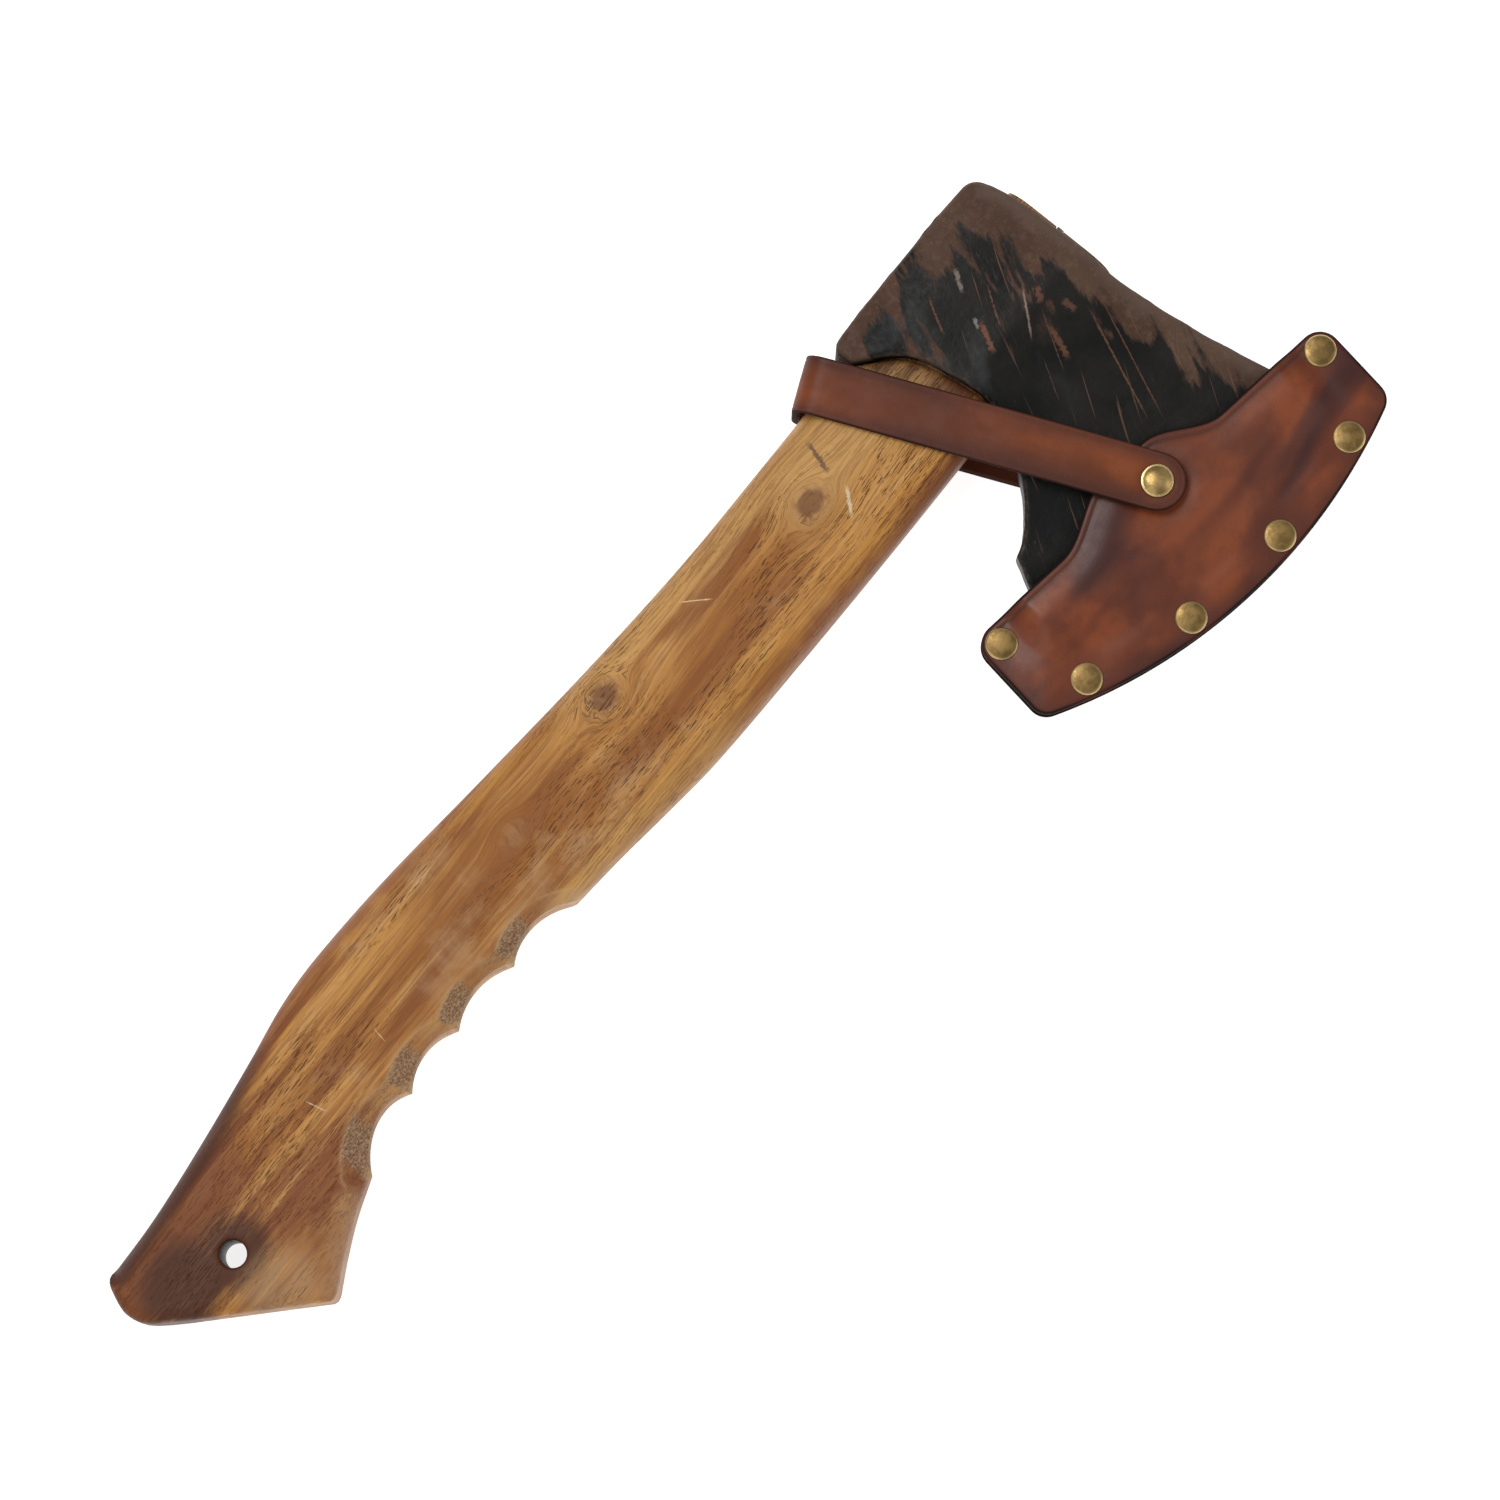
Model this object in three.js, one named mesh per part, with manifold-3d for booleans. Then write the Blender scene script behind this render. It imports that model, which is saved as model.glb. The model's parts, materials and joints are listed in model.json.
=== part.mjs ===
// A bearded hatchet lying on its side, in millimetres, +Z up.
//
// The forged head is wedged onto a flat wooden handle with finger grooves. A riveted leather mask
// covers the cutting edge, and its strap goes round the handle, just under the head, and snaps
// shut on the front.
//
// Everything is drawn in the "bench" frame: a runs from the poll's top corner towards the butt,
// p runs from the poll face towards the cutting edge, and z is the height over the middle plane.
// The mask has a frame of its own, centred on the arc of the cutting edge, and so has the strap,
// which starts at its button.

import * as THREE from 'three';
import { mergeVertices } from 'three/addons/utils/BufferGeometryUtils.js';
import Module from 'manifold-3d';

const wasm = await Module();
wasm.setup();

// ---------------------------------------------------------------- driving dimensions

const GAP = 0.3;
const CUT_REACH = 60;

// where the bench frame lies in the part's own frame
const ORIGIN_A = 174.465;
const ORIGIN_P = 63.9;
const REST_HEIGHT = 15.5;

// head
const POLL_LENGTH = 58;
const CHEEK_HALF = 15.5;
const BIT_RADIUS = 147.8;
const BIT_EDGE_HALF = 0.3;
const BEVEL_SLOPE = 0.21;
const EYE_START = 10;
const EYE_END = 46;
const EYE_HALF = 10;
const EYE_CORNER = 8;
const TENON_END = -6.3;

// handle
const SHOULDER_START = 36;
const EDGE_ROUND = 8;
const BUTT_REACH = 384;
const HOLE_PLACE = [349.5, 29.7];
const HOLE_RADIUS = 3.75;

// wedges
const KERF_DEPTH = 30;
const KERF_HALF = 2;
const STEEL_WEDGE_DEPTH = 15;
const STEEL_WEDGE_PLACE = 28;

// mask
const MASK_CENTRE = [15.1, -27.4];
const MASK_TURN = THREE.MathUtils.degToRad(-8.35);
const MASK_RADIUS = 159.3;
const MASK_HALF = 64.7;
const OUTER_CORNER = 5.5;
const INNER_CORNER = 6;
const INNER_EDGE = 118;
const TAB_EDGE = 109.3;
const LEATHER = 3;
const WELT_HALF = 1.75;
const WELT_RADIUS = 148.8;
const WELT_WING = 54;

// rivets: places as [radius from the mask's centre, angle from its axis in degrees]
const RIVETS = [[137, -25.5], [154, -18.4], [154, -6.13], [154, 6.13], [154, 18.4], [137, 25.5]];
const RIVET_HOLE = 1.9;
const CAP_RADIUS = 4.5;

// strap: its button's place is in the mask's frame
const BUTTON = [-1.05, 120.1];
const STRAP_DIRECTION = [0.395, -0.919];
const STRAP_HALF = 8;
const STRAP_THICK = 2.3;
const STRAP_RUN_Z = 14.1;
const STRAP_FRONT_Z = 13;
const STRAP_BACK_Z = 11.1;
const STRAP_FLAT = 5.5;
const STRAP_CLIMB = 46;
const STRAP_TURN = 99.2;
const STRAP_BEND_RADIUS = 4.5;

const WOOD = new THREE.MeshStandardMaterial({ color: 0xb0854e, roughness: 0.5 });
const WEDGE_WOOD = new THREE.MeshStandardMaterial({ color: 0x8a6238, roughness: 0.7 });
const FORGED = new THREE.MeshStandardMaterial({ color: 0x23211f, roughness: 0.45, metalness: 0.7 });
const STEEL = new THREE.MeshStandardMaterial({ color: 0x77726a, roughness: 0.4, metalness: 0.9 });
const TAN = new THREE.MeshStandardMaterial({ color: 0x7a3a1c, roughness: 0.4 });
const STRAP = new THREE.MeshStandardMaterial({ color: 0x6e3a20, roughness: 0.45 });
const EDGE = new THREE.MeshStandardMaterial({ color: 0x2a1610, roughness: 0.4 });
const BRASS = new THREE.MeshStandardMaterial({ color: 0x9c7b3c, roughness: 0.35, metalness: 0.9 });

// ---------------------------------------------------------------- helpers

// A smooth function through a few [place, value] knots, level where it stops rising or falling.
function through(knots) {
  const last = knots.length - 1;
  const slope = (i) => {
    const before = knots[Math.max(i - 1, 0)];
    const after = knots[Math.min(i + 1, last)];
    const turns = (knots[i][1] - before[1]) * (after[1] - knots[i][1]) <= 0;
    return turns && i > 0 && i < last ? 0 : (after[1] - before[1]) / (after[0] - before[0]);
  };
  return (at) => {
    const next = knots.findIndex(([place]) => place > at);
    const i = next < 0 ? last - 1 : Math.max(next - 1, 0);
    const width = knots[i + 1][0] - knots[i][0];
    const t = THREE.MathUtils.clamp((at - knots[i][0]) / width, 0, 1);
    const rise = t * t * (3 - 2 * t);
    const bend = t * (1 - t);
    return (
      knots[i][1] * (1 - rise) + knots[i + 1][1] * rise
      + width * bend * (slope(i) * (1 - t) - slope(i + 1) * t)
    );
  };
}

const span = (from, to, steps) =>
  Array.from({ length: steps + 1 }, (_, i) => from + ((to - from) * i) / steps);

const ease = (from, to, at) => THREE.MathUtils.smoothstep(at, from, to);

// A geometry from corner points and triangles, turned inside out if its volume is negative.
function closedBody(points, triangles) {
  let volume = 0;
  for (const [i, j, k] of triangles) {
    volume += points[i].dot(new THREE.Vector3().crossVectors(points[j], points[k]));
  }
  const faces = volume < 0 ? triangles.map(([i, j, k]) => [i, k, j]) : triangles;
  const geometry = new THREE.BufferGeometry();
  geometry.setAttribute('position', new THREE.Float32BufferAttribute(points.flatMap((q) => q.toArray()), 3));
  geometry.setIndex(faces.flat());
  return geometry;
}

// A closed plate from two grids of points, one for each of its faces.
function plate(top, bottom) {
  const rows = top.length;
  const columns = top[0].length;
  const points = [...top.flat(), ...bottom.flat()];
  const upper = (i, j) => i * columns + j;
  const lower = (i, j) => rows * columns + i * columns + j;
  const triangles = [];
  const quad = (a, b, c, d) => triangles.push([a, b, c], [a, c, d]);
  for (let i = 0; i < rows - 1; i += 1) {
    for (let j = 0; j < columns - 1; j += 1) {
      quad(upper(i, j), upper(i + 1, j), upper(i + 1, j + 1), upper(i, j + 1));
      quad(lower(i, j), lower(i, j + 1), lower(i + 1, j + 1), lower(i + 1, j));
    }
    quad(upper(i, 0), lower(i, 0), lower(i + 1, 0), upper(i + 1, 0));
    quad(upper(i + 1, columns - 1), lower(i + 1, columns - 1), lower(i, columns - 1), upper(i, columns - 1));
  }
  for (let j = 0; j < columns - 1; j += 1) {
    quad(upper(0, j + 1), lower(0, j + 1), lower(0, j), upper(0, j));
    quad(upper(rows - 1, j), lower(rows - 1, j), lower(rows - 1, j + 1), upper(rows - 1, j + 1));
  }
  return closedBody(points, triangles);
}

// A closed body through a row of rings with equal numbers of points, with a fan over each end.
function loft(rings) {
  const count = rings[0].length;
  const points = rings.flat();
  const triangles = [];
  for (let i = 0; i < rings.length - 1; i += 1) {
    for (let j = 0; j < count; j += 1) {
      const k = (j + 1) % count;
      const here = i * count;
      triangles.push([here + j, here + k, here + count + k], [here + j, here + count + k, here + count + j]);
    }
  }
  for (const [ring, flipped] of [[0, true], [rings.length - 1, false]]) {
    const middle = new THREE.Vector3();
    rings[ring].forEach((q) => middle.addScaledVector(q, 1 / count));
    points.push(middle);
    for (let j = 0; j < count; j += 1) {
      const a = ring * count + j;
      const b = ring * count + ((j + 1) % count);
      triangles.push(flipped ? [points.length - 1, b, a] : [points.length - 1, a, b]);
    }
  }
  return closedBody(points, triangles);
}

function toSolid(geometry) {
  const bare = geometry.clone();
  bare.deleteAttribute('normal');
  bare.deleteAttribute('uv');
  const merged = mergeVertices(bare, 1e-4);
  return new wasm.Manifold(new wasm.Mesh({
    numProp: 3,
    vertProperties: new Float32Array(merged.attributes.position.array),
    triVerts: new Uint32Array(merged.index.array),
  }));
}

function toGeometry(solid) {
  const mesh = solid.getMesh();
  const geometry = new THREE.BufferGeometry();
  geometry.setAttribute('position', new THREE.BufferAttribute(new Float32Array(mesh.vertProperties), 3));
  geometry.setIndex(new THREE.BufferAttribute(new Uint32Array(mesh.triVerts), 1));
  return geometry;
}

// The geometry with some others cut out of it.
const cut = (geometry, ...tools) =>
  toGeometry(tools.reduce((rest, tool) => rest.subtract(toSolid(tool)), toSolid(geometry)));

// An upright prism on an outline of [x, y] points, from one height to another.
function prism(outline, low, high) {
  const shape = new THREE.Shape(outline.map(([x, y]) => new THREE.Vector2(x, y)));
  const geometry = new THREE.ExtrudeGeometry(shape, { depth: high - low, bevelEnabled: false });
  return geometry.translate(0, 0, low);
}

// An upright round tool for drilling.
function drill(x, y, radius, low, high, sides = 16) {
  const geometry = new THREE.CylinderGeometry(radius, radius, high - low, sides);
  return geometry.rotateX(Math.PI / 2).translate(x, y, (low + high) / 2);
}

// A turned piece about Z from a profile of [radius, height] points.
function turned(profile, sides = 16) {
  const points = profile.map(([r, z]) => new THREE.Vector2(r, z));
  const geometry = new THREE.LatheGeometry(points, sides).rotateX(Math.PI / 2);
  geometry.deleteAttribute('normal');
  geometry.deleteAttribute('uv');
  const merged = mergeVertices(geometry, 1e-4);
  const corners = merged.attributes.position;
  const places = Array.from({ length: corners.count }, (_, i) => new THREE.Vector3().fromBufferAttribute(corners, i));
  const triangles = [];
  for (let i = 0; i < merged.index.count; i += 3) {
    const [a, b, c] = merged.index.array.slice(i, i + 3);
    if (a !== b && b !== c && c !== a) {
      triangles.push([a, b, c]);
    }
  }
  return closedBody(places, triangles);
}

function named(name, geometry, material, group) {
  const mesh = new THREE.Mesh(geometry, material);
  mesh.name = name;
  group.add(mesh);
  return mesh;
}

// ---------------------------------------------------------------- frames

const hatchet = new THREE.Group();
const bench = new THREE.Group();
bench.position.set(ORIGIN_A, ORIGIN_P, REST_HEIGHT);
bench.rotation.z = Math.PI;
hatchet.add(bench);

const mask = new THREE.Group();
mask.position.set(MASK_CENTRE[0], MASK_CENTRE[1], 0);
mask.rotation.z = MASK_TURN;
bench.add(mask);

const strap = new THREE.Group();
strap.position.set(BUTTON[0], BUTTON[1], 0);
strap.rotation.z = Math.atan2(STRAP_DIRECTION[1], STRAP_DIRECTION[0]) - MASK_TURN;
mask.add(strap);

// ---------------------------------------------------------------- head

const cheek = through([
  [0, 13.6], [5, 14.6], [13, CHEEK_HALF], [35, CHEEK_HALF], [43, 12.6], [49, 11.1], [60, 8.9], [75, 6.7],
  [95, 4.9], [110, 3.7], [125, 3.2],
]);

function bladeHalf(a, p) {
  const fromEdge = BIT_RADIUS - Math.hypot(a - MASK_CENTRE[0], p - MASK_CENTRE[1]);
  return Math.min(cheek(p), Math.max(BIT_EDGE_HALF + fromEdge * BEVEL_SLOPE, BIT_EDGE_HALF));
}

function headOutline() {
  const poll = [[1.5, 0], [POLL_LENGTH - 1.5, 0], [58.6, 2.5], [58.4, 7.1]];
  const lip = [[53, 11.5], [48, 16.5], [45.6, 21.5], [44.3, 27.5], [43.1, 35], [42.8, 43]];
  const beard = [[44.4, 49], [49, 57.4], [55.2, 64.7], [60.5, 69.7], [65.8, 73.4], [70.3, 74.6], [74.5, 82.3]];
  const heel = [[79.2, 91], [84, 99]];
  const edge = span(84.6, -13, 24).map((a) => [
    a,
    MASK_CENTRE[1] + Math.sqrt(BIT_RADIUS ** 2 - (a - MASK_CENTRE[0]) ** 2),
  ]);
  const toe = [[-16, 115.2], [-17.1, 111.5]];
  const top = [[-13, 96.6], [-7.9, 71.3], [-5.1, 49.7], [-5.5, 39.6], [-5.1, 23.9], [-4.5, 12], [-3.4, 5.4]];
  return [...poll, ...lip, ...beard, ...heel, ...edge, ...toe, ...top];
}

// The rounded section of the eye, or of the tenon in it, along a.
function eyePrism(inset, from, to) {
  const half = EYE_HALF - inset;
  const start = EYE_START + inset;
  const end = EYE_END - inset;
  const corner = EYE_CORNER - inset;
  const shape = new THREE.Shape();
  shape.absarc(start + corner, half - corner, corner, Math.PI / 2, Math.PI);
  shape.absarc(start + corner, corner - half, corner, Math.PI, Math.PI * 1.5);
  shape.absarc(end - corner, corner - half, corner, Math.PI * 1.5, Math.PI * 2);
  shape.absarc(end - corner, half - corner, corner, 0, Math.PI / 2);
  const geometry = new THREE.ExtrudeGeometry(shape, {
    depth: to - from, bevelEnabled: false, curveSegments: 5,
  });
  // the shape's x becomes p, its y becomes z, and its depth becomes a
  const turn = new THREE.Matrix4().makeBasis(
    new THREE.Vector3(0, 1, 0), new THREE.Vector3(0, 0, 1), new THREE.Vector3(1, 0, 0),
  );
  return geometry.applyMatrix4(turn).translate(from, 0, 0);
}

function makeHead() {
  const places = [0, 5, 13, 24, 35, 39, 43, 49, 54, 60, 67, 75, 84, 92, 99, 105, 110, 114, 117, 122];
  const across = span(-24, 92, 12);
  const face = (side) => places.map((p) => across.map((a) => new THREE.Vector3(a, p, side * bladeHalf(a, p))));
  const wedge = toSolid(plate(face(1), face(-1)));
  const forged = wedge.intersect(toSolid(prism(headOutline(), -CUT_REACH, CUT_REACH)));
  return toGeometry(forged.subtract(toSolid(eyePrism(0, -CUT_REACH, CUT_REACH * 2))));
}

named('head', makeHead(), FORGED, bench);

// ---------------------------------------------------------------- handle

const pollSide = through([
  [30, 5], [91, 5.6], [127, 5.5], [164, 3.7], [207, 0.3], [246, -3.1], [275, -4.1], [290, -3.1],
  [306, -0.3], [333, 4], [355, 6.8], [372, 7.7], [390, 8],
]);
const bitSide = through([
  [30, 46.6], [91, 47.2], [130, 46.9], [165, 46.1], [185, 44.2], [201, 42.4], [218.1, 41],
]);
const flare = through([[310, 44.4], [321.8, 48.7], [331.8, 53.4], [341, 58.2], [352, 62], [390, 62]]);
const handleHalf = through([
  [30, 12.5], [120, 12.5], [200, 12.2], [262, 12.4], [310, 13.2], [345, 15.1], [372, 15.2], [390, 15.2],
]);

// The tips between the finger grooves, and how deep each groove is cut below the line of its tips.
const TIPS = [[218.1, 41], [241.8, 38.2], [264.8, 37.7], [285.9, 38.6], [310, 44.4]];
const GROOVE_DEPTHS = [4.1, 3.5, 3.6, 5.2];

function gripSide(a) {
  if (a <= TIPS[0][0]) {
    return bitSide(a);
  }
  if (a >= TIPS[4][0]) {
    return flare(a);
  }
  const i = TIPS.findIndex(([place]) => place > a) - 1;
  const [from, to] = [TIPS[i], TIPS[i + 1]];
  const half = (to[0] - from[0]) / 2;
  const depth = GROOVE_DEPTHS[i];
  const radius = (half * half + depth * depth) / (2 * depth);
  const along = a - from[0] - half;
  const sink = Math.sqrt(radius * radius - along * along) - (radius - depth);
  return from[1] + ((to[1] - from[1]) * (a - from[0])) / (2 * half) - sink;
}

// A rounded rectangle across the handle at one place along it.
function handleRing(a) {
  const low = pollSide(a);
  const high = gripSide(a);
  const half = handleHalf(a);
  const ring = [];
  for (const [p, z, from] of [
    [high - EDGE_ROUND, half - EDGE_ROUND, 0], [low + EDGE_ROUND, half - EDGE_ROUND, 90],
    [low + EDGE_ROUND, EDGE_ROUND - half, 180], [high - EDGE_ROUND, EDGE_ROUND - half, 270],
  ]) {
    for (const turn of span(from, from + 90, 4)) {
      const angle = THREE.MathUtils.degToRad(turn);
      ring.push(new THREE.Vector3(a, p + EDGE_ROUND * Math.cos(angle), z + EDGE_ROUND * Math.sin(angle)));
    }
  }
  return ring;
}

function makeHandle() {
  const grooves = TIPS.slice(0, 4).flatMap(([from], i) => span(from, TIPS[i + 1][0], 7).slice(0, 7));
  const places = [
    ...span(SHOULDER_START, 200, 11), ...grooves, ...span(310, 352, 6), ...span(362, BUTT_REACH, 3),
  ];
  const slab = loft(places.map(handleRing));

  // everything the head takes up, with clearance, and what lies beyond the slanted butt
  const headRoom = prism([
    [-CUT_REACH, -20], [59.1, -20], [59.1, 7.4], [53.5, 12], [48.5, 16.8], [46.1, 21.8], [44.8, 27.6],
    [43.6, 35.1], [43.3, 43], [44.9, 48.8], [49.4, 57.2], [49.4, 80], [-CUT_REACH, 80],
  ], -CUT_REACH, CUT_REACH);
  const beyondButt = prism([
    [339.5, 100], [339.5, 58.6], [341.5, 58.2], [343.6, 57.4], [377.4, 25.3], [379, 22.6], [379.9, 19],
    [379.9, 17], [376.6, 9.2], [375.4, 8.2], [373.6, 7.5], [373.6, -20], [420, -20], [420, 100],
  ], -CUT_REACH, CUT_REACH);
  const hole = drill(HOLE_PLACE[0], HOLE_PLACE[1], HOLE_RADIUS, -CUT_REACH, CUT_REACH, 20);
  const kerf = new THREE.BoxGeometry(KERF_DEPTH, 60, 2 * KERF_HALF);
  kerf.translate(TENON_END + KERF_DEPTH / 2 - GAP, (EYE_START + EYE_END) / 2, 0);
  const crossKerf = new THREE.BoxGeometry(STEEL_WEDGE_DEPTH, 2.6, 60);
  crossKerf.translate(TENON_END + STEEL_WEDGE_DEPTH / 2 - GAP, STEEL_WEDGE_PLACE, 0);

  const tenon = toSolid(eyePrism(GAP, TENON_END, 62));
  return toGeometry(
    toSolid(slab)
      .subtract(toSolid(headRoom))
      .add(tenon)
      .subtract(toSolid(beyondButt))
      .subtract(toSolid(hole))
      .subtract(toSolid(kerf))
      .subtract(toSolid(crossKerf)),
  );
}

named('handle', makeHandle(), WOOD, bench);

// ---------------------------------------------------------------- wedges

// A wedge that tapers along a, from a thick end at the top of the eye. The two halves of each
// pair are its half-thickness and its half-width.
function wedgeBody(thickAxis, top, length, thick, width, middle) {
  const corner = (a, share, side, edge) => (
    thickAxis === 'z'
      ? new THREE.Vector3(a, middle + edge * width, side * thick * share)
      : new THREE.Vector3(a, middle + side * thick * share, edge * width)
  );
  const face = (side) => [[top, 1], [top + length, 0.3]].map(
    ([a, share]) => [corner(a, share, side, -1), corner(a, share, side, 1)],
  );
  return plate(face(1), face(-1));
}

const kerfMiddle = (EYE_START + EYE_END) / 2;
const woodenWedge = wedgeBody('z', TENON_END, KERF_DEPTH - 1, KERF_HALF - GAP, 16.5, kerfMiddle);
const wedgeSlot = new THREE.BoxGeometry(STEEL_WEDGE_DEPTH, 2.6, 20);
wedgeSlot.translate(TENON_END + STEEL_WEDGE_DEPTH / 2 - GAP, STEEL_WEDGE_PLACE, 0);
named('wooden_wedge', cut(woodenWedge, wedgeSlot), WEDGE_WOOD, bench);
named(
  'steel_wedge',
  wedgeBody('p', TENON_END - 0.4, STEEL_WEDGE_DEPTH - 0.5, 1, 8.6, STEEL_WEDGE_PLACE),
  STEEL,
  bench,
);

// ---------------------------------------------------------------- mask

// The mask's inner edge, towards the poll, with a tab under the strap's button. The tab falls off
// sooner on the side towards the top of the head.
function maskInner(x) {
  const side = Math.abs(x);
  const corner = side - (MASK_HALF - INNER_CORNER);
  if (corner > 0) {
    return INNER_EDGE + INNER_CORNER - Math.sqrt(Math.max(INNER_CORNER ** 2 - corner ** 2, 0));
  }
  const rise = x < 0 ? ease(6, 27, side) : ease(9, 32, side);
  return TAB_EDGE + (INNER_EDGE - TAB_EDGE) * rise;
}

// The mask's outer edge, round the cutting edge, with a rounded corner at each end.
function maskOuter(x) {
  const side = Math.abs(x);
  const cornerX = MASK_HALF - OUTER_CORNER;
  const reach = MASK_RADIUS - OUTER_CORNER;
  if (side < (cornerX * MASK_RADIUS) / reach) {
    return Math.sqrt(MASK_RADIUS ** 2 - side ** 2);
  }
  const cornerY = Math.sqrt(reach ** 2 - cornerX ** 2);
  return cornerY + Math.sqrt(Math.max(OUTER_CORNER ** 2 - (side - cornerX) ** 2, 0));
}

// Height of a panel's inner face: down on the welt along the rim, raised over the blade.
function panelInside(x, y) {
  const rim = WELT_HALF + GAP;
  const p = MASK_CENTRE[1] + y * Math.cos(MASK_TURN) + x * Math.sin(MASK_TURN);
  const radius = Math.hypot(x, y);
  const over = (1 - ease(46.5, 54.2, Math.abs(x))) * (1 - ease(136, 148, radius));
  return rim + Math.max(cheek(p) + 0.6 - rim, 0) * over;
}

function makePanel(side) {
  const inner = span(-52, 52, 26);
  const ends = span(0, 90, 5).map((turn) => 55 + (MASK_HALF - 55) * Math.sin(THREE.MathUtils.degToRad(turn)));
  const columns = [...ends.map((x) => -x).reverse(), ...inner, ...ends];
  const face = (lift) => columns.map((x) => span(maskInner(x), maskOuter(x), 9).map(
    (y) => new THREE.Vector3(x, y, side * (panelInside(x, y) + lift)),
  ));
  const holes = RIVETS.map(([radius, turn]) => {
    const angle = THREE.MathUtils.degToRad(turn);
    return drill(radius * Math.sin(angle), radius * Math.cos(angle), RIVET_HOLE, -20, 20);
  });
  const post = drill(BUTTON[0], BUTTON[1], RIVET_HOLE, -20, 20);
  const inside = panelInside(BUTTON[0], BUTTON[1]);
  const seat = side > 0
    ? drill(BUTTON[0], BUTTON[1], 4, 0, inside + 1.1)
    : drill(BUTTON[0], BUTTON[1], 4, -inside - 1.1, 0);
  return cut(plate(face(LEATHER), face(0)), ...holes, post, seat);
}

named('sheath_front_panel', makePanel(1), TAN, mask);
named('sheath_back_panel', makePanel(-1), TAN, mask);

function makeWelt() {
  const cornerX = MASK_HALF - OUTER_CORNER;
  const reach = MASK_RADIUS - OUTER_CORNER;
  const cornerTurn = Math.asin(cornerX / reach);
  const cornerY = reach * Math.cos(cornerTurn);
  const wingX = MASK_HALF - INNER_CORNER;
  const wingY = INNER_EDGE + INNER_CORNER;
  const quarter = Math.PI / 2;
  const bandTurn = Math.asin(WELT_WING / WELT_RADIUS);
  const shape = new THREE.Shape();
  shape.moveTo(WELT_WING, INNER_EDGE);
  shape.absarc(wingX, wingY, INNER_CORNER, -quarter, 0);
  shape.absarc(cornerX, cornerY, OUTER_CORNER, 0, quarter - cornerTurn);
  shape.absarc(0, 0, MASK_RADIUS, quarter - cornerTurn, quarter + cornerTurn);
  shape.absarc(-cornerX, cornerY, OUTER_CORNER, quarter + cornerTurn, Math.PI);
  shape.absarc(-wingX, wingY, INNER_CORNER, Math.PI, Math.PI + quarter);
  shape.lineTo(-WELT_WING, INNER_EDGE);
  shape.absarc(0, 0, WELT_RADIUS, quarter + bandTurn, quarter - bandTurn, true);
  const geometry = new THREE.ExtrudeGeometry(shape, {
    depth: 2 * WELT_HALF, bevelEnabled: false, curveSegments: 24,
  }).translate(0, 0, -WELT_HALF);
  const holes = RIVETS.map(([radius, turn]) => {
    const angle = THREE.MathUtils.degToRad(turn);
    return drill(radius * Math.sin(angle), radius * Math.cos(angle), RIVET_HOLE, -20, 20);
  });
  return cut(geometry, ...holes);
}

named('sheath_welt', makeWelt(), EDGE, mask);

// ---------------------------------------------------------------- rivets

// A cap with a hollow stem. Its underside is at height 0 and the stem hangs below it.
function capProfile(radius, rise, stem) {
  const dome = span(0, 60, 4).map((turn) => {
    const angle = THREE.MathUtils.degToRad(turn);
    return [
      (radius * Math.sin(angle)) / Math.sin(Math.PI / 3),
      0.5 + ((rise - 0.5) * (Math.cos(angle) - 0.5)) / 0.5,
    ];
  });
  return [
    [0, rise], ...dome.slice(1), [radius, 0], [1.6, 0], [1.6, -stem], [1.25, -stem], [1.25, -0.4], [0, -0.4],
  ];
}

// A base with a solid post that stands in a cap's stem. Its upper face is at height 0.
function postProfile(radius, rise, post) {
  return [
    [0, -rise], [radius * 0.6, -rise * 0.85], [radius, -0.5], [radius, 0], [0.95, 0], [0.95, post], [0, post],
  ];
}

const stack = WELT_HALF + GAP + LEATHER + GAP;
RIVETS.forEach(([radius, turn], i) => {
  const angle = THREE.MathUtils.degToRad(turn);
  const [x, y] = [radius * Math.sin(angle), radius * Math.cos(angle)];
  const cap = named(`rivet_${i + 1}_cap`, turned(capProfile(CAP_RADIUS, 1.4, 2 * stack - 1.4)), BRASS, mask);
  cap.position.set(x, y, stack);
  const post = named(`rivet_${i + 1}_post`, turned(postProfile(CAP_RADIUS, 1.3, 2 * stack - 1.6)), BRASS, mask);
  post.position.set(x, y, -stack);
});

// The strap's back end is riveted to the back panel, from a flat base sunk into its inner face.
const seatHeight = panelInside(BUTTON[0], BUTTON[1]) + 0.8;
const backOuter = STRAP_BACK_Z + STRAP_THICK / 2 + GAP;
const strapCap = named('strap_rivet_cap', turned(capProfile(CAP_RADIUS, 1.4, 4.4)), BRASS, strap);
strapCap.position.z = -backOuter;
strapCap.rotation.x = Math.PI;
const strapPost = named('strap_rivet_post', turned([
  [0, -0.6], [3.5, -0.6], [3.5, 0], [0.95, 0], [0.95, backOuter - seatHeight - 0.7],
  [0, backOuter - seatHeight - 0.7],
]), BRASS, strap);
strapPost.position.z = -seatHeight;
strapPost.rotation.x = Math.PI;

// ---------------------------------------------------------------- snap

const panelTop = panelInside(BUTTON[0], BUTTON[1]) + LEATHER;
const strapUnder = STRAP_FRONT_Z - STRAP_THICK / 2;
const socketTop = strapUnder - 0.15;
const studBase = panelTop + 0.5;
const socketBase = studBase + 0.85;
const socketHigh = socketTop - socketBase;

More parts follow.
